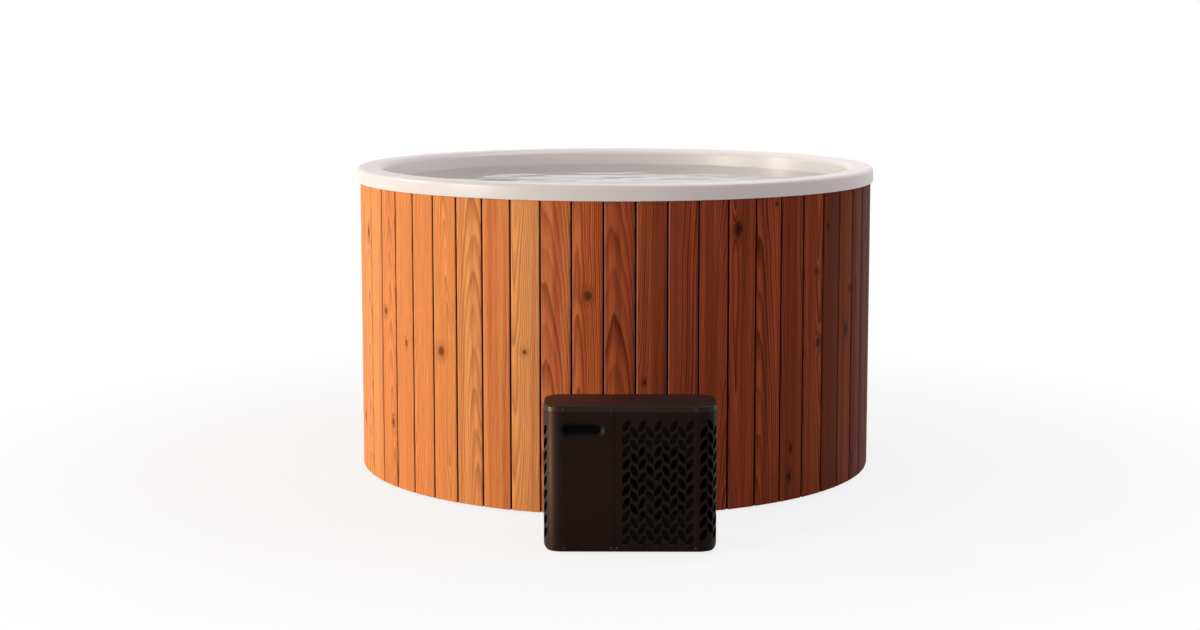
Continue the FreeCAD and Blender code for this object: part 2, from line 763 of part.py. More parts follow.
# Drain: flange, seal and nut in the well floor, a coupling, and a pipe that bends out to the back
FLANGE_LOW = f"({WELL_FLOOR} + gasket_thickness)"
flange_disc = rod("drain_disc", "drain_flange_radius", "drain_flange_height", DRAIN_X, z=FLANGE_LOW)
flange_tail = rod("drain_tail_pipe", "drain_radius", f"{FLANGE_LOW} - drain_tail", DRAIN_X, z="drain_tail")
drain_way = rod("drain_way", "drain_bore", f"{FLANGE_LOW} + drain_flange_height", DRAIN_X)
flange_blank = fuse("drain_flange_blank", flange_disc, flange_tail)
keep(cut("drain_flange_bored", flange_blank, drain_way), "drain_flange")
keep(tube("drain_gasket_ring", "drain_flange_radius", "drain_radius + pipe_slack", "gasket_thickness",
          DRAIN_X, z=WELL_FLOOR), "drain_gasket")
NUT_LOW = f"({PAD_TOP} - drain_nut_thickness)"
nut_blank = hexagon("drain_nut_blank", "drain_nut_circle", "drain_nut_thickness", DRAIN_X, z=NUT_LOW)
nut_way = rod("drain_nut_way", "drain_radius + pipe_slack", "drain_nut_thickness", DRAIN_X, z=NUT_LOW)
keep(cut("drain_nut_bored", nut_blank, nut_way), "drain_nut")
VALVE_Y = "(tub_radius + valve_stand)"
keep(bent_tube("drain_run", (
    (DRAIN_X, "0", "drain_tail"),
    (DRAIN_X, "0", "drain_height"),
    (DRAIN_X, VALVE_Y, "drain_height"),
), "drain_radius", "drain_bore", "drain_bend"), "drain_pipe")
keep(tube("coupling_sleeve", "drain_radius + coupling_wall", "drain_radius + pipe_slack", "coupling_length",
          DRAIN_X, z="drain_tail - coupling_length / 2"), "drain_coupling")
grommets.append(tube(
    "drain_grommet", "drain_radius + grommet_wall + pipe_slack", "drain_radius + pipe_slack",
    "stave_thickness + 2 * grommet_stand", DRAIN_X,
    "tub_radius - stave_thickness - grommet_stand", "drain_height", TO_BACK))
keep(group("grommet_set", *grommets), "pipe_grommets")

# Ball valve behind the tub, with its outlet, ball, stem and lever
VALVE_MIDDLE = f"({VALVE_Y} + valve_length / 2)"
STEM_TOP = "(drain_height + valve_radius + stem_rise)"
barrel = rod("valve_barrel", "valve_radius", "valve_length", DRAIN_X, VALVE_Y, "drain_height", TO_BACK)
outlet = rod("valve_outlet", "drain_radius", "outlet_length", DRAIN_X, f"{VALVE_Y} + valve_length",
             "drain_height", TO_BACK)
bonnet = rod("valve_bonnet", "2 * stem_radius", "valve_radius + stem_rise / 2", DRAIN_X, VALVE_MIDDLE,
             "drain_height")
valve_way = rod("valve_way", "drain_bore", "valve_length + outlet_length", DRAIN_X, VALVE_Y,
                "drain_height", TO_BACK)
ball_seat = ball("ball_seat", "ball_radius + ball_slack", DRAIN_X, VALVE_MIDDLE, "drain_height")
stem_way = rod("stem_way", "stem_radius + ball_slack", "valve_radius + stem_rise", DRAIN_X, VALVE_MIDDLE,
               "drain_height")
keep(cut("valve_bored", fuse("valve_blank", barrel, outlet, bonnet), valve_way, ball_seat, stem_way),
     "valve_body")
ball_way = rod("ball_way", "drain_bore", "4 * ball_radius", DRAIN_X, f"{VALVE_MIDDLE} - 2 * ball_radius",
               "drain_height", TO_BACK)
STEM_LOW = "(drain_height + (ball_radius + drain_bore) / 2)"
stem_slot = rod("stem_slot", "stem_radius", "ball_radius", DRAIN_X, VALVE_MIDDLE, STEM_LOW)
keep(cut("ball_bored", ball("ball_blank", "ball_radius", DRAIN_X, VALVE_MIDDLE, "drain_height"), ball_way,
         stem_slot), "valve_ball")
stem = rod("stem_rod", "stem_radius", f"{STEM_TOP} - {STEM_LOW}", DRAIN_X, VALVE_MIDDLE, STEM_LOW)
keep(stem, "valve_stem")
lever_boss = rod("lever_boss", "lever_width / 2", "lever_height", z="0")
lever_arm = box("lever_arm", ("-lever_width / 2", "lever_width / 2"), ("0", "lever_length"),
                ("0", "lever_height"))
lever_tip = rod("lever_tip", "lever_width / 2", "lever_height", y="lever_length")
keep(place(fuse("lever_blank", lever_boss, lever_arm, lever_tip), DRAIN_X, VALVE_MIDDLE, STEM_TOP),
     "valve_lever")

# The heat pump is drawn in a frame of its own, with its middle on the floor at the origin
BAY = "(2 * (fan_radius + fan_tip_gap + shroud_wall + fan_margin))"
UNIT_WIDTH = f"(control_width + {BAY} + unit_corner)"
LEFT = f"(-{UNIT_WIDTH} / 2)"
RIGHT = f"({UNIT_WIDTH} / 2)"
FRONT = "(-unit_depth / 2)"
REAR = "(unit_depth / 2)"
SEAM = f"({LEFT} + control_width)"
FLAT_END = f"({RIGHT} - unit_corner)"
PANEL_TOP = "(unit_height - cover_height - panel_gap)"
RAIL_LOW = "(unit_height - cover_height - rail_reach)"
PAN_FLOOR = "(foot_height + pan_wall)"
FRAME_INSET = "(panel_wall + inner_fit + pan_wall + frame_gap)"
SPIGOT_X = f"({PIPE_X} - unit_x)"


def stand(thing, label, x="0", y="0", z="0", turn=UPRIGHT):
    """Put a finished piece of the heat pump where the unit stands, in front of the tub."""
    place(thing, f"unit_x + {x}", f"{y} - (tub_radius + unit_gap + unit_depth / 2)", z, turn)
    return keep(thing, label)


def rounded_block(name, inset, low, high):
    """A block of the unit's plan, drawn in by an inset, with its upright corners rounded."""
    body = new_body(name)
    side = f"{UNIT_WIDTH} / 2 - ({inset})"
    deep = f"unit_depth / 2 - ({inset})"
    sketch = new_sketch(body, "XY_Plane", low)
    draw_outline(sketch, (
        (f"-({side})", f"-({deep})"), (side, f"-({deep})"), (side, deep), (f"-({side})", deep),
    ))
    add_pad(body, sketch, f"({high}) - ({low})")
    round_edges(body, f"unit_corner - ({inset})", is_upright)
    return body


def end_block(name, inset, low):
    """A block of the unit's front view, drawn in by an inset, with its two lower corners rounded."""
    body = new_body(name)
    side = f"{UNIT_WIDTH} / 2 - ({inset})"
    sketch = new_sketch(body, "XZ_Plane", "-unit_depth")
    draw_outline(sketch, (
        (f"-({side})", low), (side, low), (side, "unit_height"), (f"-({side})", "unit_height"),
    ))
    add_pad(body, sketch, "2 * unit_depth")
    floor = value(low) + 0.01
    round_edges(body, f"base_round - ({inset})",
                lambda edge: edge.BoundBox.ZMax < floor and edge.BoundBox.XLength < 0.01)
    return body


def slot_profile():
    """A pointed oval about the origin, upright in the XZ plane."""
    half = value("slot_length") / 2
    swell = value("slot_width") / 2
    tip = Vector(0, 0, half)
    foot = Vector(0, 0, -half)
    sides = [Part.Arc(foot, Vector(x, 0, 0), tip).toShape() for x in (swell, -swell)]
    return Part.Face(Part.Wire(sides))


def slot_rows(low, high, lean):
    """The heights of the slots in a column, whose rows alternate columns shift by half a step."""
    rise = value("slot_rise")
    start = low + value("slot_length") / 2 + (rise / 2 if lean < 0 else 0)
    rows = []
    while start + value("slot_length") / 2 <= high:
        rows.append(start)
        start += rise
    return rows


def slot_cutter(name, spots):
    """Pointed cutters at (x, y, z, heading, lean), each through the wall that faces its heading."""
    deep = value("panel_wall") * 3
    profile = slot_profile()
    cutters = []
    for x, y, z, heading, lean in spots:
        blade = profile.extrude(Vector(0, deep, 0))
        blade.translate(Vector(0, -deep / 2, 0))
        blade.rotate(Vector(), Vector(0, 1, 0), lean * value("slot_tilt"))
        blade.rotate(Vector(), Vector(0, 0, 1), heading)
        blade.translate(Vector(x, y, z))
        cutters.append(blade)
    cutter = doc.addObject("Part::Feature", name)
    cutter.Shape = Part.makeCompound(cutters)
    return cutter


def columns_between(low, high):
    """Evenly placed columns of slots, with the sign of each one's lean."""
    span = high - low - value("slot_width")
    count = int(span // value("slot_across")) + 1
    start = (low + high - (count - 1) * value("slot_across")) / 2
    return [(start + index * value("slot_across"), -1 if index % 2 else 1) for index in range(count)]


# Base pan on rubber feet, with its ends turned up in a curve
foot_spots = [(x, y) for x in (f"{LEFT} + foot_inset", f"{RIGHT} - foot_inset")
              for y in (f"{FRONT} + foot_inset", f"{REAR} - foot_inset")]
feet = [rod("foot", "foot_radius", "foot_height", x, y) for x, y in foot_spots]
stand(group("foot_set", *feet), "rubber_feet")
PAN_INSET = "panel_wall + inner_fit"
pan_block = rounded_block("pan_block", PAN_INSET, "foot_height", "foot_height + pan_flange")
pan_outside = common("pan_outside", pan_block, end_block("pan_ends", PAN_INSET, "foot_height"))
pan_hollow = rounded_block("pan_hollow", f"{PAN_INSET} + pan_wall", PAN_FLOOR,
                           "foot_height + 2 * pan_flange")
pan_inside = common("pan_inside", pan_hollow,
                    end_block("pan_hollow_ends", f"{PAN_INSET} + pan_wall", PAN_FLOOR))
stand(cut("pan_tray", pan_outside, pan_inside), "base_pan")

# Casing: one rounded wall, curved up at its lower ends and parted into five panels
sleeve = cut("casing_sleeve", rounded_block("casing_block", "0", "foot_height", PANEL_TOP),
             rounded_block("casing_hollow", "panel_wall", "0", "unit_height"))
casing = common("casing_wall", sleeve, end_block("casing_ends", "0", "foot_height"))
BEYOND = "panel_wall"


def panel(name, x, y):
    """The stretch of the casing wall between two bounds each way."""
    return common(name, casing, box(f"{name}_bounds", x, y, ("0", "unit_height")))


IN_FRONT = (f"{FRONT} - {BEYOND}", "0")
BEHIND = ("0", f"{REAR} + {BEYOND}")
control = panel("control_wall", (f"{LEFT} + corner_split", f"{SEAM} - panel_gap / 2"), IN_FRONT)
grille = panel("grille_wall", (f"{SEAM} + panel_gap / 2", f"{FLAT_END} - panel_gap / 2"), IN_FRONT)
left_wall = panel("left_wall", (f"{LEFT} - {BEYOND}", f"{LEFT} + corner_split - panel_gap"),
                  (f"{FRONT} - {BEYOND}", f"{REAR} + {BEYOND}"))
right_wall = panel("right_wall", (f"{FLAT_END} + panel_gap / 2", f"{RIGHT} + {BEYOND}"),
                   (f"{FRONT} - {BEYOND}", f"{REAR} + {BEYOND}"))
rear_wall = panel("rear_wall", (f"{LEFT} + corner_split", f"{FLAT_END} - panel_gap / 2"), BEHIND)

SLOT_LOW = value("foot_height + slot_border / 2")
SLOT_HIGH = value(f"{PANEL_TOP} - slot_border / 2")
front_spots = [
    (x, value(FRONT), z, 0, lean)
    for x, lean in columns_between(value(f"{SEAM} + slot_border"), value(f"{FLAT_END} - slot_border / 2"))
    for z in slot_rows(SLOT_LOW, SLOT_HIGH, lean)
]
stand(cut("grille_slotted", grille, slot_cutter("grille_slots", front_spots)), "front_grille")


def side_spots(side, first, last):
    """Slot spots along a front corner and its side, by distance from the corner's front end."""
    corner = value("unit_corner")
    bend = corner * math.pi / 2
    low = SLOT_LOW + value("slot_rise") / 2
    spots = []
    for distance, lean in columns_between(first, last):
        angle = min(distance / corner, math.pi / 2)
        x = value(FLAT_END) + corner * math.sin(angle)
        y = value(FRONT) + corner * (1 - math.cos(angle)) + max(0, distance - bend)
        for z in slot_rows(low, SLOT_HIGH, lean):
            spots.append((side * x, y, z, side * math.degrees(angle), lean))
    return spots


SIDE_END = value("unit_corner * pi / 2 + unit_depth - 2 * unit_corner - slot_border / 2")
right_spots = side_spots(1, value("slot_border / 4"), SIDE_END)
stand(cut("right_slotted", right_wall, slot_cutter("right_slots", right_spots)), "right_side_panel")
left_spots = side_spots(-1, value("unit_corner * pi / 4 + slot_border / 2"), SIDE_END)
stand(cut("left_slotted", left_wall, slot_cutter("left_slots", left_spots)), "left_side_panel")

# Control panel with its display: a scooped frame, a dark glass and the driver behind it
DISPLAY_X = f"({LEFT} + display_inset)"
DISPLAY_Z = "(unit_height - display_drop)"


def stadium_plate(name, width, height, start, depth):
    """An upright round-ended plate that runs back from a distance behind the front."""
    body = new_body(name)
    sketch = new_sketch(body, "XZ_Plane", f"-({FRONT} + {start} + {depth})")
    draw_stadium(sketch, DISPLAY_X, DISPLAY_Z, width, height)
    add_pad(body, sketch, depth)
    return body


window = stadium_plate("display_window", "display_width", "display_high", "-panel_wall", "3 * panel_wall")
stand(cut("control_cut", control, window), "control_panel")
FRAME_WIDTH = "display_width - 2 * display_fit"
FRAME_HIGH = "display_high - 2 * display_fit"
frame = stadium_plate("display_block", FRAME_WIDTH, FRAME_HIGH, "0", "display_depth")
scoop = new_sketch(frame, "XZ_Plane", f"-{FRONT}")
draw_stadium(scoop, DISPLAY_X, DISPLAY_Z, f"{FRAME_WIDTH} - 2 * display_edge",
             f"{FRAME_HIGH} - 2 * display_edge")
hollow = frame.newObject("PartDesign::Pocket", "Pocket")
hollow.Profile = scoop
bind(hollow, {"Length": "display_depth", "TaperAngle": "-display_slope"})
stand(frame, "display_frame")
glass = stadium_plate("glass_plate", FRAME_WIDTH, FRAME_HIGH, "display_depth", "glass_thickness")
stand(glass, "display_glass")
driver = stadium_plate("driver_plate", FRAME_WIDTH, FRAME_HIGH, "display_depth + glass_thickness",
                       "driver_thickness")
stand(driver, "display_driver")

# Rail round the top of the panels, and the cover that drops over it
rail_block = rounded_block("rail_block", PAN_INSET, RAIL_LOW, "unit_height - panel_wall")
rail_hollow = rounded_block("rail_hollow", f"{PAN_INSET} + panel_wall", "0", "unit_height")
stand(cut("rail_ring", rail_block, rail_hollow), "top_rail")
cover = rounded_block("cover_block", "0", "unit_height - cover_height", "unit_height")
round_edges(cover, "cover_round", lambda edge: edge.BoundBox.ZMin > value("unit_height") - 0.01)
cover_hollow = rounded_block("cover_hollow", "panel_wall", "0", "unit_height - panel_wall")
stand(cut("cover_shell", cover, cover_hollow), "top_cover")


def case_screw(x, y, z, turn):
    """A pan-head screw whose head lies on the casing, with its shank turned inwards."""
    head = rod("case_screw_cap", "case_screw_head", "case_screw_proud", z="-case_screw_proud")
    shank = rod("case_screw_shank", "case_screw_radius", f"{FRAME_INSET} - frame_gap / 2")
    return place(fuse("case_screw", head, shank), x, y, z, turn)


def screw_row(z, spots):
    """Screws along the front and the back at one height."""
    row = [case_screw(x, FRONT, z, TO_BACK) for x in spots]
    return row + [case_screw(x, REAR, z, TO_FRONT) for x in spots]


SCREW_LEFT = f"{LEFT} + case_screw_inset"
SCREW_RIGHT = f"{RIGHT} - case_screw_inset"
COVER_SCREW_Z = "unit_height - cover_height / 2"
PANEL_SCREW_Z = "foot_height + pan_flange / 2"
COVER_SCREW_SPOTS = (SCREW_LEFT, f"{SEAM} - 2 * case_screw_head", SCREW_RIGHT)
stand(group("cover_screw_set", *screw_row(COVER_SCREW_Z, COVER_SCREW_SPOTS)), "cover_screws")
stand(group("panel_screw_set", *screw_row(PANEL_SCREW_Z, (
    SCREW_LEFT, f"{SEAM} - 2 * case_screw_head", f"{SEAM} + 2 * case_screw_head", SCREW_RIGHT,
))), "panel_screws")

# Partition between the dry side and the fan bay
COIL_REAR = f"({REAR} - panel_wall - coil_gap)"
COIL_MIDDLE = f"({COIL_REAR} - coil_thickness / 2)"
PARTITION_HOLES = [
    rod("copper_hole", "copper_radius + pipe_slack", "4 * partition_wall", f"{SEAM} - 2 * partition_wall",
        COIL_MIDDLE, height, TO_RIGHT)
    for height in ("liquid_height", "vapour_height")
]
wall_plate = box("partition_plate", (f"{SEAM} - partition_wall / 2", f"{SEAM} + partition_wall / 2"),
                 (f"{FRONT} + {FRAME_INSET}", f"{REAR} - {FRAME_INSET}"), (PAN_FLOOR, RAIL_LOW))
stand(cut("partition_drilled", wall_plate, *PARTITION_HOLES), "partition")

# Fan in its shroud, on the shaft of a motor that a plate holds
BAY_LEFT = f"({SEAM} + partition_wall / 2)"
FAN_X = f"({SEAM} + {BAY} / 2)"
FAN_Z = f"((foot_height + {PANEL_TOP}) / 2)"
FAN_Y = f"({FRONT} + fan_inset)"
SHROUD_Y = f"({FRONT} + {FRAME_INSET})"
SHROUD_BORE = "fan_radius + fan_tip_gap"
shroud_plate = box("shroud_plate", (BAY_LEFT, FLAT_END), (SHROUD_Y, f"{SHROUD_Y} + shroud_wall"),
                   (PAN_FLOOR, RAIL_LOW))
shroud_hoop = rod("shroud_hoop", f"{SHROUD_BORE} + shroud_wall", f"{FAN_Y} + fan_depth - {SHROUD_Y}",
                  FAN_X, SHROUD_Y, FAN_Z, TO_BACK)
shroud_bore = rod("shroud_bore", SHROUD_BORE, "2 * fan_inset + fan_depth", FAN_X, SHROUD_Y, FAN_Z, TO_BACK)
stand(cut("shroud_bored", fuse("shroud_blank", shroud_plate, shroud_hoop), shroud_bore), "fan_shroud")

MOTOR_Y = f"({FAN_Y} + fan_depth + motor_gap)"
SHAFT_END = f"({MOTOR_Y} + motor_length - motor_gap)"
rotor = new_body("rotor_blades")
hub = new_sketch(rotor, "XY_Plane")
draw_circle(hub, "0", "0", "hub_radius")
add_pad(rotor, hub, "fan_depth")


def blade_section(reach, chord, pitch):
    """A thin slanted section of a blade, square to the ray that the blade follows."""
    section = new_sketch(rotor, "YZ_Plane", reach)
    across = f"({chord} / 2 * cos({pitch}))"
    along = f"({chord} / 2 * sin({pitch}))"
    middle = "fan_depth / 2"
    draw_outline(section, (
        (f"-{across}", f"{middle} - {along} - blade_thickness / 2"),
        (across, f"{middle} + {along} - blade_thickness / 2"),
        (across, f"{middle} + {along} + blade_thickness / 2"),
        (f"-{across}", f"{middle} - {along} + blade_thickness / 2"),
    ))
    return section


blade = rotor.newObject("PartDesign::AdditiveLoft", "Loft")
blade.Profile = blade_section("hub_radius / 2", "blade_chord / 2", "blade_pitch")
blade.Sections = [blade_section("fan_radius", "blade_chord", "blade_pitch / 2")]
repeat_round(rotor, [blade], "blade_count")
fan_limit = rod("fan_limit", "fan_radius", "fan_depth")
shaft_hole = rod("hub_bore", "shaft_radius", "fan_depth")
fan_spot = (FAN_X, FAN_Y, FAN_Z, TO_BACK)
stand(cut("rotor_bored", common("rotor_trimmed", rotor, fan_limit), shaft_hole), "fan_rotor", *fan_spot)
stand(rod("shaft_rod", "shaft_radius", f"{SHAFT_END} - {FAN_Y}"), "fan_shaft", *fan_spot)
motor_can = rod("motor_can", "motor_radius", "motor_length", FAN_X, MOTOR_Y, FAN_Z, TO_BACK)
motor_bore = rod("motor_bore", "shaft_radius + shaft_slack", "motor_length - motor_gap + shaft_slack",
                 FAN_X, MOTOR_Y, FAN_Z, TO_BACK)
stand(cut("motor_bored", motor_can, motor_bore), "fan_motor")
BRACKET_Y = f"({MOTOR_Y} + motor_length)"
bracket = box("bracket_plate", (f"{FAN_X} - bracket_width / 2", f"{FAN_X} + bracket_width / 2"),
              (BRACKET_Y, f"{BRACKET_Y} + bracket_thickness"), (PAN_FLOOR, RAIL_LOW))
stand(group("bracket_single", bracket), "motor_bracket")

# Evaporator coil at the back of the fan bay, behind a barred guard in the rear panel
COIL_LEFT = f"({BAY_LEFT} + partition_wall)"
coil = box("coil_block", (COIL_LEFT, FLAT_END), (f"{COIL_REAR} - coil_thickness", COIL_REAR),
           (PAN_FLOOR, RAIL_LOW))
stand(group("coil_single", coil), "evaporator")
WINDOW_X = (f"{COIL_LEFT} + 2 * guard_lap", f"{FLAT_END} - 2 * guard_lap")
WINDOW_Z = ("foot_height + pan_flange + guard_lap", f"{RAIL_LOW} - guard_lap")
rear_window = box("rear_window", WINDOW_X, BEHIND, WINDOW_Z)
spigot_holes = [
    rod(f"{line}_rear_hole", PIPE_HOLE, "unit_depth", SPIGOT_X, "0", height, TO_BACK)
    for line, height in LINES
]
gland_hole = rod("gland_hole", "gland_radius + pipe_slack", "unit_depth", f"{LEFT} + gland_inset", "0",
                 "gland_height", TO_BACK)
stand(cut("rear_cut", rear_wall, rear_window, *spigot_holes, gland_hole), "rear_panel")


def guard_gaps(x, z):
    """The openings between the guard's bars, in columns between its ribs."""
    left, right, low, high = (value(bound) for bound in (*x, *z))
    bar = value("guard_bar")
    columns = round(value("guard_columns"))
    rows = int((high - low) // value("guard_pitch"))
    width = (right - left + bar) / columns - bar
    tall = (high - low + bar) / rows - bar
    gaps = []
    for column in range(columns):
        for row in range(rows):
            corner = Vector(left + column * (width + bar), 0, low + row * (tall + bar))
            gaps.append(Part.makeBox(width, value("unit_depth"), tall, corner))
    cutter = doc.addObject("Part::Feature", "guard_gaps")
    cutter.Shape = Part.makeCompound(gaps)
    return cutter


guard_plate = box("guard_plate", (f"{WINDOW_X[0]} - guard_lap", f"{WINDOW_X[1]} + guard_lap"),
                  (f"{REAR} - panel_wall - guard_thickness", f"{REAR} - panel_wall"),
                  (f"{WINDOW_Z[0]} - guard_lap + panel_gap", f"{WINDOW_Z[1]} + guard_lap - panel_gap"))
stand(cut("guard_barred", guard_plate, guard_gaps(WINDOW_X, WINDOW_Z)), "rear_guard")

# Compressor on rubber mounts
COMPRESSOR_X = f"({LEFT} + compressor_inset)"
COMPRESSOR_Y = f"({FRONT} + compressor_front)"
CAN_TOP = f"({PAN_FLOOR} + mount_height + compressor_plate + compressor_height)"
PLATE_LOW = f"({PAN_FLOOR} + mount_height)"
can = turned("compressor_can", (
    ("0", PLATE_LOW),
    ("compressor_foot", PLATE_LOW),
    ("compressor_foot", f"{PLATE_LOW} + compressor_plate"),
    ("compressor_radius", f"{PLATE_LOW} + compressor_plate"),
    ("compressor_radius", CAN_TOP),
    ("0", CAN_TOP),
))
round_edges(can, "compressor_round", ring_edges(("compressor_radius", CAN_TOP)))
stand(can, "compressor", COMPRESSOR_X, COMPRESSOR_Y)
mounts = new_body("mount_ring")
mount_spot = new_sketch(mounts, "XY_Plane", PAN_FLOOR)
draw_circle(mount_spot, "0", "mount_circle", "mount_radius")
repeat_round(mounts, [add_pad(mounts, mount_spot, "mount_height")], "3")
stand(mounts, "compressor_mounts", COMPRESSOR_X, COMPRESSOR_Y)

# Heat exchanger, whose two water spigots pass out through the rear panel to face the tub's
EXCHANGER_Y = f"({REAR} - exchanger_rear)"
spigots = []
spigot_bores = []
unions = []
for line, height in LINES:
    spot = (SPIGOT_X, EXCHANGER_Y, height, TO_BACK)
    reach = "exchanger_rear + spigot_collar"
    spigots.append(rod(f"{line}_neck", "pipe_radius", reach, *spot))
    spigots.append(rod(f"{line}_spigot", "spigot_radius", f"{reach} + spigot_length", *spot))
    spigot_bores.append(rod(f"{line}_spigot_bore", "pipe_bore", f"{reach} + spigot_length", *spot))
    union = hexagon(f"{line}_union_blank", "union_circle", "spigot_collar", SPIGOT_X, REAR, height, TO_BACK)
    unions.append(cut(f"{line}_union", union, rod(f"{line}_union_way", PIPE_HOLE, "unit_depth", *spot)))
vessel = rod("exchanger_vessel", "exchanger_radius", f"exchanger_height - {PAN_FLOOR}", SPIGOT_X,
             EXCHANGER_Y, PAN_FLOOR)
stand(cut("exchanger_bored", fuse("exchanger_blank", vessel, *spigots), *spigot_bores), "heat_exchanger")
stand(group("union_pair", *unions), "spigot_unions")

# Copper pipes between the compressor, the exchanger and the coil
hot_gas = bent_tube("hot_gas_line", (
    (COMPRESSOR_X, COMPRESSOR_Y, CAN_TOP),
    (COMPRESSOR_X, COMPRESSOR_Y, "copper_top"),
    (SPIGOT_X, EXCHANGER_Y, "copper_top"),
    (SPIGOT_X, EXCHANGER_Y, "exchanger_height"),
), "copper_radius", None, "copper_bend")
liquid = rod("liquid_line", "copper_radius", f"{COIL_LEFT} - {SPIGOT_X}", SPIGOT_X, COIL_MIDDLE,
             "liquid_height", TO_RIGHT)
vapour = bent_tube("vapour_line", (
    (COIL_LEFT, COIL_MIDDLE, "vapour_height"),
    (f"{SEAM} - vapour_lane", COIL_MIDDLE, "vapour_height"),
    (f"{SEAM} - vapour_lane", COMPRESSOR_Y, "vapour_height"),
    (COMPRESSOR_X, COMPRESSOR_Y, "vapour_height"),
), "copper_radius", None, "copper_bend")
can_space = rod("can_space", "compressor_radius", "unit_height", COMPRESSOR_X, COMPRESSOR_Y)
vessel_space = rod("vessel_space", "exchanger_radius", "exchanger_height", SPIGOT_X, EXCHANGER_Y)
stand(group("copper_set", hot_gas, cut("liquid_trimmed", liquid, vessel_space),
            cut("vapour_trimmed", vapour, can_space)), "copper_lines")

# Control board on the partition, and the gland for the supply lead
board = box("board_block", (f"{SEAM} - partition_wall / 2 - board_deep", f"{SEAM} - partition_wall / 2"),
            ("-board_length", "0"), ("board_low", "board_high"))
stand(group("board_single", board), "control_board")
gland_barrel = rod("gland_barrel", "gland_radius", "gland_stand + 2 * panel_wall", f"{LEFT} + gland_inset",
                   f"{REAR} - 2 * panel_wall", "gland_height", TO_BACK)
gland_collar = rod("gland_collar", "gland_flange", "gland_stand / 2", f"{LEFT} + gland_inset", REAR,
                   "gland_height", TO_BACK)
stand(fuse("gland_blank", gland_barrel, gland_collar), "cable_gland")

doc.recompute()
os.makedirs("parts", exist_ok=True)
for thing in doc.Objects:
    if "Invalid" in thing.State or "Error" in thing.State:
        raise RuntimeError(f"{thing.Name} failed: {thing.State}")
for piece in pieces:
    if piece.Shape.isNull() or not piece.Shape.isValid():
        raise RuntimeError(f"{piece.Label} has no valid shape")
for piece in pieces:
    piece.Shape.exportStep(f"parts/{piece.Label}.step")
    print(piece.Label, len(piece.Shape.Solids), round(piece.Shape.Volume), piece.Shape.BoundBox)
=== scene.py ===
import math

import bmesh
import bpy
import mathutils
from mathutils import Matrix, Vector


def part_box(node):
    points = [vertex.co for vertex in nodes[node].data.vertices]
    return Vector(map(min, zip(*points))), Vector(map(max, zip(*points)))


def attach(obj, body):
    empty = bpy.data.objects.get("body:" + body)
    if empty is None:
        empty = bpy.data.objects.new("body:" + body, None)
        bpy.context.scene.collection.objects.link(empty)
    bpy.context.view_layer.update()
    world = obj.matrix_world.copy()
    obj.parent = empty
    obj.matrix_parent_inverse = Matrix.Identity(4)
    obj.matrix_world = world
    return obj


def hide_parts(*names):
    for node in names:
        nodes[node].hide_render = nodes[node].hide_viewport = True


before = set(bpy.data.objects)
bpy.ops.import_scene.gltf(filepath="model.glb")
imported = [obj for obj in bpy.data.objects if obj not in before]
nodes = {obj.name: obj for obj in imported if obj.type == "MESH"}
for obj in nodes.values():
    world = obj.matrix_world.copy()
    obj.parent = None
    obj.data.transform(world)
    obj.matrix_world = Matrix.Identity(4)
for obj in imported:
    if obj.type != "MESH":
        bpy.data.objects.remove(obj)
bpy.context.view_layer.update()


# The floor bearers, props, posts and rings are sawn softwood, screwed together into a frame
# under and round the moulded tub. The grain runs along each stick and lies flat in the rings.
def new_finish(name, levels):
    """A material with levels set on its shader; returns it, its tree and the shader."""
    finish = bpy.data.materials.new(name)
    finish.use_nodes = True
    tree = finish.node_tree
    shader = tree.nodes["Principled BSDF"]
    for label, level in levels.items():
        shader.inputs[label].default_value = level
    return finish, tree, shader


def feed(tree, value, socket):
    """Links a socket's value, or sets a plain one."""
    if isinstance(value, bpy.types.NodeSocket):
        tree.links.new(value, socket)
    else:
        socket.default_value = value


def add(tree, kind, feeds, out=0, **settings):
    """A node with its settings and inputs fed by name or number; returns one output."""
    node = tree.nodes.new(kind)
    for setting, value in settings.items():
        setattr(node, setting, value)
    for label, value in feeds.items():
        feed(tree, value, node.inputs[label])
    return node.outputs[out]


def maths(tree, task, *values):
    """One step of arithmetic on sockets or plain numbers."""
    return add(tree, "ShaderNodeMath", dict(enumerate(values)), operation=task)


def shifted(tree, vector, scale, offset=(0.0, 0.0, 0.0)):
    """A vector scaled and then moved."""
    feeds = {0: vector, 1: scale, 2: offset}
    return add(tree, "ShaderNodeVectorMath", feeds, operation="MULTIPLY_ADD")


def noise(tree, vector, scale, detail=2.0, roughness=0.5, distortion=0.0):
    """Soft noise from 0 to 1."""
    feeds = {"Vector": vector, "Scale": scale, "Detail": detail}
    feeds.update({"Roughness": roughness, "Distortion": distortion})
    return add(tree, "ShaderNodeTexNoise", feeds)


def fitted(tree, value, low, high, new_low, new_high):
    """A value moved from one span to another, held at both ends."""
    feeds = {0: value, 1: low, 2: high, 3: new_low, 4: new_high}
    return add(tree, "ShaderNodeMapRange", feeds)


def mixed(tree, share, low, high, how="MIX"):
    """Two colours blended by a share."""
    feeds = {0: share, 6: low, 7: high}
    return add(tree, "ShaderNodeMix", feeds, out=2, data_type="RGBA", blend_type=how)


def bumped(tree, shader, height, distance, strength=1.0):
    """A fine relief on the shader's normal."""
    feeds = {"Height": height, "Distance": distance, "Strength": strength}
    feed(tree, add(tree, "ShaderNodeBump", feeds), shader.inputs["Normal"])


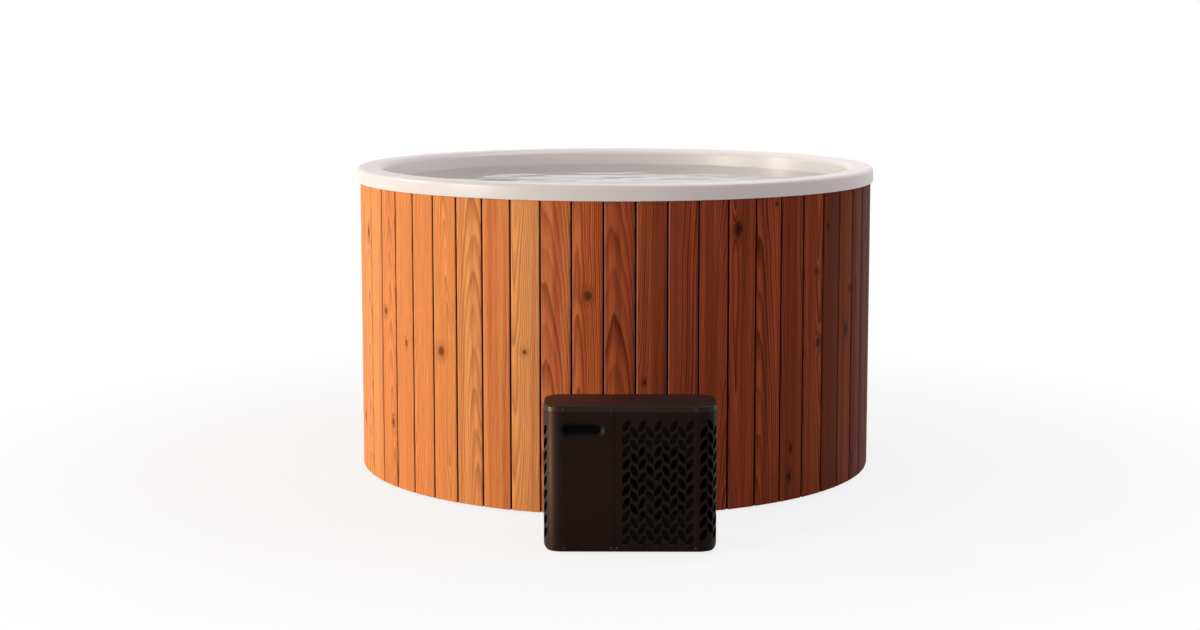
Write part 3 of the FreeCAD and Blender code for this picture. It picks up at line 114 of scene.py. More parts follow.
def sawn_timber(name, light, dark, stretch):
    """Plain timber whose grain is drawn out by the stretch along each axis."""
    finish, tree, shader = new_finish(name, {"Roughness": 0.7})
    place = add(tree, "ShaderNodeTexCoord", {}, out="Object")
    grain = shifted(tree, place, stretch)
    rings = noise(tree, grain, 1.0, detail=4.0, roughness=0.55, distortion=0.6)
    fibres = noise(tree, shifted(tree, grain, (5.0, 5.0, 5.0)), 1.0)
    share = fitted(tree, rings, 0.35, 0.68, 0.0, 1.0)
    colour = mixed(tree, share, light, dark)
    shade = fitted(tree, fibres, 0.3, 0.7, 0.86, 1.1)
    feed(tree, mixed(tree, 1.0, colour, shade, "MULTIPLY"), shader.inputs["Base Color"])
    feed(tree, fitted(tree, rings, 0.3, 0.7, 0.6, 0.8), shader.inputs["Roughness"])
    bumped(tree, shader, fibres, distance=0.0006, strength=0.5)
    return finish


def dress(finish, *names):
    """Gives CAD nodes a finish."""
    for name in names:
        nodes[name].data.materials.clear()
        nodes[name].data.materials.append(finish)


PINE = (0.58, 0.39, 0.2, 1.0)
PINE_RING = (0.4, 0.22, 0.09, 1.0)
dress(sawn_timber("pine_along", PINE, PINE_RING, stretch=(70.0, 3.5, 70.0)), "floor_bearers")
dress(sawn_timber("pine_upright", PINE, PINE_RING, stretch=(70.0, 70.0, 3.5)),
      "seat_props", "lower_posts", "upper_posts")
dress(sawn_timber("pine_ring", PINE, PINE_RING, stretch=(7.0, 7.0, 110.0)),
      "bottom_ring", "middle_ring", "top_ring")


# The base board is one disc of plywood under the tub, screwed down to the bearers.
# Its face veneer has long grain and its cut edge shows the thin layers.
BIRCH = (0.62, 0.46, 0.27, 1.0)
BIRCH_RING = (0.46, 0.3, 0.15, 1.0)
dress(sawn_timber("plywood_sheet", BIRCH, BIRCH_RING, stretch=(3.0, 45.0, 320.0)),
      "base_board")


# The foam pad under the foot well and the foam blanket round the tub hold its warmth in.
# Both are closed-cell foam with a fine pebbled skin.
def speckled(name, light, dark, grit, roughness, relief=0.0004, levels=()):
    """A finish with two close colours in a fine grit, for foam, rubber, plastic and paint."""
    finish, tree, shader = new_finish(name, dict(levels))
    place = add(tree, "ShaderNodeTexCoord", {}, out="Object")
    fine = noise(tree, place, grit, detail=3.0, roughness=0.6)
    broad = noise(tree, place, grit * 0.04)
    share = fitted(tree, maths(tree, "ADD", fine, broad), 0.7, 1.3, 0.0, 1.0)
    feed(tree, mixed(tree, share, light, dark), shader.inputs["Base Color"])
    rough = fitted(tree, fine, 0.3, 0.7, roughness - 0.06, roughness + 0.06)
    feed(tree, rough, shader.inputs["Roughness"])
    bumped(tree, shader, fine, distance=relief, strength=0.6)
    return finish


FOAM_LIGHT = (0.5, 0.52, 0.54, 1.0)
FOAM_DARK = (0.34, 0.36, 0.38, 1.0)
dress(speckled("closed_foam", FOAM_LIGHT, FOAM_DARK, grit=420.0, roughness=0.85),
      "floor_pad", "insulation_blanket")


# The ring is 56 upright heartwood boards, each with a tongue on one edge and a groove in the
# other, set with an open joint between their eased faces. They are oiled, and screwed on from
# inside. The pipes pass through one near the front, and the drain through one near the back.
STAVE_COUNT = 56
STAVE_TURN = math.radians(0.875)
STAVE_STEP = 2 * math.pi / STAVE_COUNT
STAVE_FACE = 0.89
EASED_EDGE = 0.0045
STAVE_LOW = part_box("staves")[0][2]
STAVE_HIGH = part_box("staves")[1][2]
PIPE_ACROSS = -0.08613
SUCTION_HEIGHT = 0.215
RETURN_HEIGHT = 0.312
DRAIN_ACROSS = 0.18477
DRAIN_HEIGHT = 0.04
HOLE_REACH = 0.88
HONEY = (0.79, 0.344, 0.123, 1.0)
AMBER = (0.76, 0.27, 0.086, 1.0)
RUSSET = (0.49, 0.112, 0.037, 1.0)
UMBER = (0.19, 0.041, 0.018, 1.0)
EARLY_WOOD = (1.2, 1.18, 1.14, 1.0)
LATE_WOOD = (0.36, 0.25, 0.21, 1.0)
PALE_KNOT = (0.17, 0.04, 0.016, 1.0)
DARK_KNOT = (0.024, 0.007, 0.005, 1.0)
# The pale pink of a painted highlight on the boards' left edges.
PAINTED_EDGE_HIGHLIGHT = (0.62, 0.31, 0.26, 1.0)


def oiled_boards(name):
    """Flat-sawn boards: growth rings cut round a pith of each board's own, knots and fibres."""
    finish, tree, shader = new_finish(name, {
        "Specular IOR Level": 0.04, "Specular Tint": (1.0, 0.8, 0.68, 1.0)})
    place = add(tree, "ShaderNodeTexCoord", {}, out="Object")
    split = tree.nodes.new("ShaderNodeSeparateXYZ")
    feed(tree, place, split.inputs[0])
    x, y, z = split.outputs
    angle = maths(tree, "ARCTAN2", maths(tree, "MULTIPLY", x, -1.0), y)
    steps = maths(tree, "DIVIDE", maths(tree, "SUBTRACT", angle, STAVE_TURN), STAVE_STEP)
    nearest = maths(tree, "ROUND", steps)
    board = maths(tree, "FLOORED_MODULO", nearest, float(STAVE_COUNT))
    swing = maths(tree, "MULTIPLY", maths(tree, "SUBTRACT", steps, nearest), STAVE_STEP)
    reach = maths(tree, "SQRT", maths(tree, "ADD", maths(tree, "MULTIPLY", x, x),
                                      maths(tree, "MULTIPLY", y, y)))
    across = maths(tree, "MULTIPLY", reach, maths(tree, "SINE", swing))
    depth = maths(tree, "SUBTRACT", maths(tree, "MULTIPLY", reach, maths(tree, "COSINE", swing)),
                  STAVE_FACE)

    chance_step = 7.31
    noise_step = 17.3
    rings_pushed = 3.6

    def chance(seed, low, high):
        """A board's own random number."""
        key = maths(tree, "MULTIPLY_ADD", board, chance_step, seed)
        drawn = add(tree, "ShaderNodeTexWhiteNoise", {"W": key}, noise_dimensions="1D")
        return fitted(tree, drawn, 0.0, 1.0, low, high)

    def board_point(wide, long):
        """A place on the board, drawn out along its length, apart from its neighbours'."""
        apart = maths(tree, "MULTIPLY", board, noise_step)
        feeds = {0: maths(tree, "MULTIPLY_ADD", across, wide, apart),
                 1: maths(tree, "MULTIPLY", depth, wide), 2: maths(tree, "MULTIPLY", z, long)}
        return add(tree, "ShaderNodeCombineXYZ", feeds)

    def knot(seed, share):
        """A branch stub cut across: how far it bends the rings, its dark face and its halo."""
        size = chance(seed + 1.0, 0.0045, 0.013)
        side = maths(tree, "SUBTRACT", across, chance(seed + 2.0, -0.036, 0.036))
        rise = maths(tree, "SUBTRACT", z, chance(seed + 3.0, 0.05, 0.97))
        rise = maths(tree, "MULTIPLY", rise, chance(seed + 4.0, 0.45, 0.8))
        far = maths(tree, "ADD", maths(tree, "MULTIPLY", side, side),
                    maths(tree, "MULTIPLY", rise, rise))
        far = maths(tree, "DIVIDE", maths(tree, "SQRT", far), size)
        often = fitted(tree, x, -0.3, 0.5, share, share + 0.45)
        there = maths(tree, "LESS_THAN", chance(seed, 0.0, 1.0), often)
        pull = maths(tree, "DIVIDE", rings_pushed, maths(tree, "MULTIPLY_ADD", far, far, 1.0))
        face = maths(tree, "ADD", fitted(tree, far, 0.6, 1.3, 0.62, 0.0),
                     fitted(tree, far, 0.9, 3.0, 0.38, 0.0))
        return maths(tree, "MULTIPLY", pull, there), maths(tree, "MULTIPLY", face, there)

    drift = noise(tree, board_point(wide=5.0, long=1.6), 1.0)
    waver = noise(tree, board_point(wide=38.0, long=5.5), 1.0)
    lean = maths(tree, "MULTIPLY", z, chance(31.0, -0.05, 0.05))
    dip = maths(tree, "MULTIPLY", z, chance(37.0, -0.028, 0.028))
    wide = maths(tree, "ADD", maths(tree, "SUBTRACT", across, chance(3.0, -0.09, 0.09)), dip)
    wide = maths(tree, "ADD", wide, fitted(tree, drift, 0.2, 0.8, -0.013, 0.013))
    deep = maths(tree, "ADD", maths(tree, "ADD", depth, chance(5.0, 0.014, 0.085)), lean)
    rings = maths(tree, "SQRT", maths(tree, "ADD", maths(tree, "MULTIPLY", wide, wide),
                                      maths(tree, "MULTIPLY", deep, deep)))
    rings = maths(tree, "ADD", rings, fitted(tree, waver, 0.2, 0.8, -0.0012, 0.0012))
    rings = maths(tree, "DIVIDE", rings, chance(7.0, 0.0034, 0.0062))
    knots = 0.0
    for seed, share in ((41.0, 0.4), (53.0, 0.3)):
        pull, face = knot(seed, share)
        rings = maths(tree, "ADD", rings, pull)
        knots = maths(tree, "MAXIMUM", knots, face)

    year = add(tree, "ShaderNodeTexWhiteNoise", {"W": maths(tree, "FLOOR", rings)},
               noise_dimensions="1D")
    within = maths(tree, "FRACT", rings)
    late = maths(tree, "MINIMUM", fitted(tree, within, 0.25, 0.86, 0.0, 1.0),
                 fitted(tree, within, 0.9, 1.0, 1.0, 0.0))
    late = maths(tree, "MULTIPLY", late, fitted(tree, year, 0.0, 1.0, 0.35, 1.0))
    fibres = noise(tree, board_point(wide=620.0, long=9.0), 1.0, detail=3.0, roughness=0.6)
    streaks = noise(tree, board_point(wide=42.0, long=0.5), 1.0, detail=3.0, roughness=0.55)

    # The boards run from pale at the tub's left to dark red at its right, partly their own tone
    # and partly painted shade.
    tone_and_painted_shade = fitted(tree, x, -0.31, 0.16, 0.0, 0.95)
    odd = maths(tree, "MULTIPLY", chance(11.0, -0.18, 0.2), fitted(tree, x, -0.5, 0.0, 0.35, 1.0))
    shade = maths(tree, "ADD", maths(tree, "ADD", tone_and_painted_shade, odd),
                  fitted(tree, streaks, 0.3, 0.7, -0.2, 0.2))
    pale = mixed(tree, chance(13.0, 0.0, 1.0), HONEY, AMBER)
    colour = mixed(tree, fitted(tree, shade, 0.0, 0.5, 0.0, 1.0), pale, RUSSET)
    colour = mixed(tree, fitted(tree, shade, 0.5, 1.0, 0.0, 1.0), colour, UMBER)
    # Late wood and knots darken towards the right with the same tone and painted shade.
    depth_of_tone = maths(tree, "MULTIPLY", late, fitted(tree, tone_and_painted_shade, 0.0, 0.5, 0.6, 1.0))
    ring_tone = mixed(tree, depth_of_tone, EARLY_WOOD, LATE_WOOD)
    colour = mixed(tree, 1.0, colour, ring_tone, "MULTIPLY")
    knot_tone = mixed(tree, tone_and_painted_shade, PALE_KNOT, DARK_KNOT)
    colour = mixed(tree, maths(tree, "MULTIPLY", knots, 0.9), colour, knot_tone)
    grainy = fitted(tree, fibres, 0.25, 0.75, 0.66, 1.24)
    colour = mixed(tree, 1.0, colour, grainy, "MULTIPLY")

    # Left edges carry a pale painted highlight, left off at the tub's right. The open joints are
    # darkened, as dirt and painted shade, and the boards at the far right darker still as painted
    # shade.
    highlight_side = maths(tree, "MULTIPLY_ADD", maths(tree, "MAXIMUM", x, 0.0), 0.1, across)
    painted_edge_highlight = maths(tree, "MULTIPLY", maths(tree, "LESS_THAN", highlight_side, -0.02),
                   fitted(tree, depth, -0.05 * EASED_EDGE, -0.3 * EASED_EDGE, 0.0, 0.7))
    colour = mixed(tree, painted_edge_highlight, colour, PAINTED_EDGE_HIGHLIGHT)
    # Dirt and painted shade in the joints, and painted shade on the boards at the far right.
    dirt_and_painted_shade = fitted(tree, depth, -0.4 * EASED_EDGE, -0.8 * EASED_EDGE, 1.0, 0.03)
    dirt_and_painted_shade = maths(tree, "MULTIPLY", dirt_and_painted_shade, fitted(tree, x, 0.5, 0.88, 1.0, 0.55))
    feed(tree, mixed(tree, 1.0, colour, dirt_and_painted_shade, "MULTIPLY"), shader.inputs["Base Color"])
    rough = maths(tree, "ADD", fitted(tree, fibres, 0.3, 0.7, 0.5, 0.66),
                  maths(tree, "MULTIPLY", late, -0.06))
    feed(tree, rough, shader.inputs["Roughness"])
    relief = maths(tree, "MULTIPLY_ADD", late, 0.5, fibres)
    bumped(tree, shader, relief, distance=0.0005, strength=0.35)
    return finish


def new_tree(name, inputs):
    """A Geometry Nodes tree with a mesh in and out and named inputs of its own."""
    tree = bpy.data.node_groups.new(name, "GeometryNodeTree")
    tree.interface.new_socket("Mesh", in_out="INPUT", socket_type="NodeSocketGeometry")
    for label, kind in inputs.items():
        tree.interface.new_socket(label, in_out="INPUT", socket_type="NodeSocket" + kind)
    tree.interface.new_socket("Mesh", in_out="OUTPUT", socket_type="NodeSocketGeometry")
    source = tree.nodes.new("NodeGroupInput")
    return tree, source.outputs


def end_tree(tree, mesh, finish):
    """Closes a tree: copies made real, the finish it was given set, the mesh passed out."""
    real = add(tree, "GeometryNodeRealizeInstances", {"Geometry": mesh})
    dressed = add(tree, "GeometryNodeSetMaterial", {"Geometry": real, "Material": finish})
    last = tree.nodes.new("NodeGroupOutput")
    feed(tree, dressed, last.inputs[0])


def placed(name, data):
    """A new object in the scene."""
    piece = bpy.data.objects.new(name, data)
    bpy.context.scene.collection.objects.link(piece)
    return piece


def as_mesh(shape, name):
    """A mesh made from a working shape, which is then let go."""
    mesh = bpy.data.meshes.new(name)
    shape.to_mesh(mesh)
    shape.free()
    return mesh


def grow(name, start, tree, inputs):
    """Runs a tree on a mesh and returns its result as a plain mesh object."""
    grower = placed(name + "_grower", start)
    modifier = grower.modifiers.new(name, "NODES")
    modifier.node_group = tree
    for item in tree.interface.items_tree:
        if item.in_out == "INPUT" and item.name in inputs:
            modifier[item.identifier] = inputs[item.name]
    depsgraph = bpy.context.evaluated_depsgraph_get()
    mesh = bpy.data.meshes.new_from_object(grower.evaluated_get(depsgraph))
    mesh.name = name
    bpy.data.objects.remove(grower)
    return placed(name, mesh)


def shade_smooth(mesh, angle):
    """Smooth shading that keeps edges sharper than the angle, in degrees."""
    mesh.shade_smooth()
    mesh.set_sharp_from_angle(angle=math.radians(angle))


def stave_board():
    """One board's section, its visible edges rounded over, drawn out to its length."""
    slope = math.tan(STAVE_STEP / 2)
    edge_steps = 4
    half_joint = 0.0025
    half_back_joint = 0.0004
    joint_depth, shoulder, back = 0.01, 0.017, 0.026
    tongue, tongue_front, tongue_back = 0.0035, 0.0103, 0.0167
    groove, groove_front, groove_back = 0.0075, 0.0088, 0.0182

    def side(depth):
        """Half the room a board has at a depth behind the face."""
        return (STAVE_FACE - depth) * slope

    corner = []
    for turn in range(edge_steps + 1):
        bend = math.radians(90 / edge_steps * turn)
        corner.append((side(0.0) - half_joint - EASED_EDGE * (1 - math.sin(bend)),
                       EASED_EDGE * (1 - math.cos(bend))))
    tip = side(joint_depth) + tongue
    mouth = -side(joint_depth) + half_joint
    right = corner + [(side(joint_depth) - half_joint, joint_depth), (tip, tongue_front),
                      (tip, tongue_back), (side(shoulder) - half_back_joint, shoulder),
                      (side(back) - half_back_joint, back)]
    left = [(-side(back) + half_back_joint, back),
            (-side(groove_back) + half_back_joint, groove_back),
            (mouth + groove, groove_back), (mouth + groove, groove_front), (mouth, groove_front)]
    left += [(-across, depth) for across, depth in reversed(corner)]
    shape = bmesh.new()
    ring = [shape.verts.new((across, -depth, STAVE_LOW)) for across, depth in right + left]
    bottom = shape.faces.new(ring)
    grown = bmesh.ops.extrude_face_region(shape, geom=[bottom])["geom"]
    top = [part for part in grown if isinstance(part, bmesh.types.BMVert)]
    bmesh.ops.translate(shape, verts=top, vec=(0.0, 0.0, STAVE_HIGH - STAVE_LOW))
    bmesh.ops.recalc_face_normals(shape, faces=shape.faces)
    return as_mesh(shape, "stave_board")


def pipe_cutter(tree, place, radius):
    """A rod along Y through the ring, for a pipe's hole."""
    rod = add(tree, "GeometryNodeMeshCylinder", {"Vertices": 40, "Radius": radius, "Depth": 0.2})
    feeds = {"Geometry": rod, "Translation": place, "Rotation": (math.pi / 2, 0.0, 0.0)}
    return add(tree, "GeometryNodeTransform", feeds)


stave_tree, given = new_tree("stave_ring", {
    "Count": "Int", "Turn": "Float", "Radius": "Float", "Play": "Float", "Seed": "Int",
    "Suction Hole": "Vector", "Return Hole": "Vector", "Drain Hole": "Vector",
    "Pipe Radius": "Float", "Drain Radius": "Float", "Finish": "Material"})
number = add(stave_tree, "GeometryNodeInputIndex", {})
turn = maths(stave_tree, "DIVIDE", 2 * math.pi, given["Count"])
turn = maths(stave_tree, "MULTIPLY_ADD", number, turn, given["Turn"])
play = add(stave_tree, "FunctionNodeRandomValue",
           {"Min": maths(stave_tree, "MULTIPLY", given["Play"], -1.0), "Max": given["Play"],
            "ID": number, "Seed": given["Seed"]}, out=1, data_type="FLOAT")
reach = maths(stave_tree, "ADD", given["Radius"], play)
east = maths(stave_tree, "MULTIPLY", maths(stave_tree, "SINE", turn),
             maths(stave_tree, "MULTIPLY", reach, -1.0))
north = maths(stave_tree, "MULTIPLY", maths(stave_tree, "COSINE", turn), reach)
place = add(stave_tree, "ShaderNodeCombineXYZ", {0: east, 1: north})
points = add(stave_tree, "GeometryNodePoints", {"Count": given["Count"], "Position": place})
heading = add(stave_tree, "FunctionNodeEulerToRotation",
              {0: add(stave_tree, "ShaderNodeCombineXYZ", {2: turn})})
ring = add(stave_tree, "GeometryNodeInstanceOnPoints",
           {"Points": points, "Instance": given["Mesh"], "Rotation": heading})
ring = add(stave_tree, "GeometryNodeRealizeInstances", {"Geometry": ring})
holes = stave_tree.nodes.new("GeometryNodeJoinGeometry")
for label, size in (("Suction Hole", "Pipe Radius"), ("Return Hole", "Pipe Radius"),
                    ("Drain Hole", "Drain Radius")):
    stave_tree.links.new(pipe_cutter(stave_tree, given[label], given[size]), holes.inputs[0])
pierced = stave_tree.nodes.new("GeometryNodeMeshBoolean")
pierced.operation = "DIFFERENCE"
stave_tree.links.new(ring, pierced.inputs["Mesh 1"])
stave_tree.links.new(holes.outputs[0], pierced.inputs["Mesh 2"])
end_tree(stave_tree, pierced.outputs[0], given["Finish"])
stave_ring = grow("stave_ring", stave_board(), stave_tree, {
    "Count": STAVE_COUNT, "Turn": STAVE_TURN, "Radius": STAVE_FACE, "Play": 0.0003, "Seed": 4,
    "Suction Hole": (PIPE_ACROSS, -HOLE_REACH, SUCTION_HEIGHT),
    "Return Hole": (PIPE_ACROSS, -HOLE_REACH, RETURN_HEIGHT),
    "Drain Hole": (DRAIN_ACROSS, HOLE_REACH, DRAIN_HEIGHT),
    "Pipe Radius": 0.0256, "Drain Radius": 0.0296,
    "Finish": oiled_boards("oiled_heartwood")})
shade_smooth(stave_ring.data, angle=40)
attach(stave_ring, "root")
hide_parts("staves", "pierced_staves")


# The tub is one moulding of white acrylic, drawn down over a mould into a ring seat and a
# foot well. Its rim is rolled out and down over the tops of the staves.
ARC_STEP = math.radians(9)


def rounded_profile(corners):
    """Points (radius, height) along a section, from corners (radius, height, bend)."""
    path = []
    for index, (radius, height, bend) in enumerate(corners):
        if not bend:
            path.append((radius, height))
            continue
        before = corners[index - 1]
        after = corners[index + 1]
        into = math.atan2(height - before[1], radius - before[0])
        out = math.atan2(after[1] - height, after[0] - radius)
        swing = (out - into + math.pi) % (2 * math.pi) - math.pi
        back = bend * math.tan(abs(swing) / 2)
        side = math.copysign(math.pi / 2, swing)
        centre = (radius - back * math.cos(into) + bend * math.cos(into + side),
                  height - back * math.sin(into) + bend * math.sin(into + side))
        pieces = max(3, round(abs(swing) / ARC_STEP))
        for piece in range(pieces + 1):
            turn = into - side + swing * piece / pieces
            path.append((centre[0] + bend * math.cos(turn), centre[1] + bend * math.sin(turn)))
    return path


def lathed(name, path, segments, finish):
    """A section turned round the Z axis into a smooth mesh."""
    shape = bmesh.new()
    rings = []
    for radius, height in path:
        if not radius:
            rings.append([shape.verts.new((0.0, 0.0, height))])
            continue
        ring = []
        for segment in range(segments):
            turn = 2 * math.pi * segment / segments
            spot = (radius * math.cos(turn), radius * math.sin(turn), height)
            ring.append(shape.verts.new(spot))
        rings.append(ring)
    for low, high in zip(rings, rings[1:]):
        for segment in range(segments):
            after = (segment + 1) % segments
            if len(low) == 1:
                shape.faces.new((low[0], high[after], high[segment]))
            elif len(high) == 1:
                shape.faces.new((low[segment], low[after], high[0]))
            else:
                shape.faces.new((low[segment], low[after], high[after], high[segment]))
    bmesh.ops.recalc_face_normals(shape, faces=shape.faces)
    mesh = as_mesh(shape, name)
    mesh.materials.append(finish)
    return placed(name, mesh)


def gelcoat(name):
    """White acrylic with a faint warm and cool cast and a slightly uneven gloss."""
    finish, tree, shader = new_finish(name, {"Coat Weight": 0.1, "Coat Roughness": 0.25})
    place = add(tree, "ShaderNodeTexCoord", {}, out="Object")
    broad = noise(tree, place, 2.2)
    fine = noise(tree, place, 60.0, detail=1.0)
    share = fitted(tree, broad, 0.3, 0.7, 0.0, 1.0)
    feed(tree, mixed(tree, share, (0.8, 0.775, 0.75, 1.0), (0.77, 0.755, 0.76, 1.0)),
         shader.inputs["Base Color"])
    feed(tree, fitted(tree, fine, 0.3, 0.7, 0.32, 0.38), shader.inputs["Roughness"])
    return finish


shell_section = rounded_profile([
    (0.0, 0.128, 0.0), (0.42, 0.128, 0.04), (0.42, 0.562, 0.03), (0.77, 0.562, 0.04),
    (0.816, 1.04, 0.022), (0.9, 1.04, 0.012), (0.9, 0.99, 0.003), (0.892, 0.99, 0.0),
    (0.892, 1.032, 0.003), (0.824, 1.032, 0.014), (0.778, 0.554, 0.048), (0.428, 0.554, 0.022),
    (0.428, 0.12, 0.048), (0.0, 0.12, 0.0)])
tub_moulding = lathed("tub_moulding", shell_section, segments=168,
                      finish=gelcoat("white_acrylic"))


def bored(piece, radius, *rods):
    """Cuts round holes, each with a centre and a turn about X."""
    for centre, turn in rods:
        shape = bmesh.new()
        bmesh.ops.create_cone(shape, cap_ends=True, segments=48, radius1=radius, radius2=radius,
                              depth=0.09)
        cutter = placed("cutter", as_mesh(shape, "cutter"))
        cutter.location = centre
        cutter.rotation_euler[0] = turn
        modifier = piece.modifiers.new("hole", "BOOLEAN")
        modifier.object = cutter
        depsgraph = bpy.context.evaluated_depsgraph_get()
        cut = bpy.data.meshes.new_from_object(piece.evaluated_get(depsgraph))
        piece.modifiers.clear()
        piece.data = cut
        bpy.data.objects.remove(cutter)


FITTING_HOLE_RADIUS = 0.0203
DRAIN_HOLE_RADIUS = 0.0243
WELL_WALL = -0.415
WELL_UNDERSIDE = 0.12
bored(tub_moulding, FITTING_HOLE_RADIUS,
      ((PIPE_ACROSS, WELL_WALL, SUCTION_HEIGHT), math.pi / 2),
      ((PIPE_ACROSS, WELL_WALL, RETURN_HEIGHT), math.pi / 2))
bored(tub_moulding, DRAIN_HOLE_RADIUS, ((DRAIN_ACROSS, 0.0, WELL_UNDERSIDE), 0.0))
shade_smooth(tub_moulding.data, angle=50)
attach(tub_moulding, "root")
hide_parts("tub_shell")


# The tub is filled to 56 mm below the top of its rim. The water's surface is kept in slow
# ripples by the return jet.
WATER_LEVEL = 0.984
WATER_EDGE = 0.812
WATER_RINGS = 80
WATER_SEGMENTS = 240
# Each layer of wavelets: how close across and along, how tall, and its own slice of the noise.
WAVELETS = ((3.0, 4.6, 0.0042, 0.7), (6.8, 10.0, 0.0038, 4.2), (12.0, 20.0, 0.0024, 8.3))


def ripple(across, along):
    """Height of the surface over its level: crossing wavelets, calmer at the back."""
    calm = min(1.0, max(0.3, 0.65 - 0.9 * along))
    height = 0.0
    for wide, long, tall, layer in WAVELETS:
        height += tall * mathutils.noise.noise((wide * across, long * along, layer))
    return calm * height


water_finish, tree, shader = new_finish("still_water", {
    "Roughness": 0.02, "IOR": 1.33, "Transmission Weight": 1.0})
place = add(tree, "ShaderNodeTexCoord", {}, out="Object")
swirl = fitted(tree, noise(tree, place, 2.5), 0.3, 0.7, 0.0, 1.0)
feed(tree, mixed(tree, swirl, (0.46, 0.48, 0.485, 1.0), (0.58, 0.59, 0.585, 1.0)),
     shader.inputs["Base Color"])
bumped(tree, shader, noise(tree, place, 26.0), distance=0.002, strength=0.15)

shape = bmesh.new()
rings = []
for step in range(1, WATER_RINGS + 1):
    radius = WATER_EDGE * step / WATER_RINGS
    ring = []
    for segment in range(WATER_SEGMENTS):
        turn = 2 * math.pi * segment / WATER_SEGMENTS
        spot = (radius * math.cos(turn), radius * math.sin(turn))
        ring.append(shape.verts.new((*spot, WATER_LEVEL + ripple(*spot))))
    rings.append(ring)
middle = shape.verts.new((0.0, 0.0, WATER_LEVEL + ripple(0.0, 0.0)))
for segment in range(WATER_SEGMENTS):
    after = (segment + 1) % WATER_SEGMENTS
    shape.faces.new((middle, rings[0][segment], rings[0][after]))
    for low, high in zip(rings, rings[1:]):
        shape.faces.new((low[segment], high[segment], high[after], low[after]))
mesh = as_mesh(shape, "water_surface")
mesh.materials.append(water_finish)
mesh.shade_smooth()
water = placed("water_surface", mesh)
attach(water, "root")


# The suction and return fittings, their nuts and grate, and the drain's flange are moulded
# white plastic, screwed together through the shell with rubber gaskets between.
def skin(name, finish, body="root", angle=35):
    """A merged, smooth-shaded copy of a CAD node that stands for it."""
    mesh = nodes[name].data.copy()
    shape = bmesh.new()
    shape.from_mesh(mesh)
    bmesh.ops.remove_doubles(shape, verts=shape.verts, dist=1e-6)
    shape.to_mesh(mesh)
    shape.free()
    mesh.materials.clear()
    mesh.materials.append(finish)
    shade_smooth(mesh, angle)
    piece = placed(name + "_skin", mesh)
    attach(piece, body)
    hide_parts(name)


white_plastic = speckled("white_plastic", (0.72, 0.72, 0.7, 1.0), (0.64, 0.64, 0.63, 1.0),
                         grit=260.0, roughness=0.38, relief=0.00015)
for name in ("suction_fitting", "return_fitting", "fitting_nuts", "suction_grate", "jet_ring",
             "drain_flange", "drain_nut", "spigot_unions"):
    skin(name, white_plastic)
skin("jet_eyeball", white_plastic, "return_jet")
skin("valve_ball", white_plastic, "drain_lever")
black_rubber = speckled("black_rubber", (0.006, 0.006, 0.006, 1.0), (0.01, 0.0098, 0.0095, 1.0),
                        grit=520.0, roughness=0.8, relief=0.0003,
                        levels={"Specular IOR Level": 0.1})
for name in ("fitting_gaskets", "drain_gasket", "pipe_grommets", "rubber_feet",
             "compressor_mounts"):
    skin(name, black_rubber)


# The drain pipe, its coupling and the ball valve's body are grey pressure-pipe plastic,
# solvent welded. The valve's lever is a red moulding pressed on its stem.
grey_plastic = speckled("grey_pipe_plastic", (0.2, 0.21, 0.22, 1.0), (0.16, 0.17, 0.18, 1.0),
                        grit=300.0, roughness=0.42, relief=0.00015)
for name in ("drain_pipe", "drain_coupling", "valve_body"):
    skin(name, grey_plastic)
skin("valve_stem", grey_plastic, "drain_lever")
red_plastic = speckled("red_lever_plastic", (0.45, 0.03, 0.02, 1.0), (0.36, 0.024, 0.018, 1.0),
                       grit=300.0, roughness=0.4, relief=0.00015)
skin("valve_lever", red_plastic, "drain_lever")


# The heat pump's works stand in its casing: folded zinc sheet, a compressor in black paint,
# a moulded fan and its shroud, copper lines and the boards that drive it.
def brushed(name, light, dark, metallic, roughness):
    """Sheet metal with a fine drawn grain and a broad spangle."""
    finish, tree, shader = new_finish(name, {"Metallic": metallic})
    place = add(tree, "ShaderNodeTexCoord", {}, out="Object")
    drawn = noise(tree, shifted(tree, place, (14.0, 14.0, 900.0)), 1.0)
    spangle = add(tree, "ShaderNodeTexVoronoi", {"Vector": place, "Scale": 70.0}, out="Color")
    share = fitted(tree, maths(tree, "ADD", drawn, spangle), 0.5, 1.5, 0.0, 1.0)
    feed(tree, mixed(tree, share, light, dark), shader.inputs["Base Color"])
    feed(tree, fitted(tree, drawn, 0.3, 0.7, roughness - 0.08, roughness + 0.08),
         shader.inputs["Roughness"])
    return finish


# The zinc is coloured far darker than bare zinc, as painted shade for the inside of the casing.
painted_shade_zinc = brushed("zinc_sheet", (0.1, 0.1, 0.1, 1.0), (0.065, 0.066, 0.067, 1.0),
               metallic=0.6, roughness=0.7)
for name in ("partition", "motor_bracket", "top_rail"):
    skin(name, painted_shade_zinc)
shaft_steel = brushed("shaft_steel", (0.06, 0.06, 0.06, 1.0), (0.04, 0.04, 0.04, 1.0),
                      metallic=0.8, roughness=0.6)
skin("fan_shaft", shaft_steel, "fan")
black_paint = speckled("black_paint", (0.01, 0.0098, 0.0096, 1.0), (0.016, 0.0155, 0.015, 1.0),
                       grit=420.0, roughness=0.45, relief=0.0002,
                       levels={"Specular IOR Level": 0.2})
for name in ("base_pan", "compressor", "fan_motor", "rear_guard"):
    skin(name, black_paint)
dark_plastic = speckled("dark_plastic", (0.003, 0.0028, 0.0027, 1.0),
                        (0.0045, 0.0042, 0.004, 1.0), grit=360.0, roughness=0.7, relief=0.0002,
                        levels={"Specular IOR Level": 0.06})
for name in ("fan_shroud", "heat_exchanger", "cable_gland"):
    skin(name, dark_plastic)
skin("fan_rotor", dark_plastic, "fan")
copper = brushed("drawn_copper", (0.72, 0.3, 0.16, 1.0), (0.55, 0.2, 0.1, 1.0),
                 metallic=1.0, roughness=0.3)
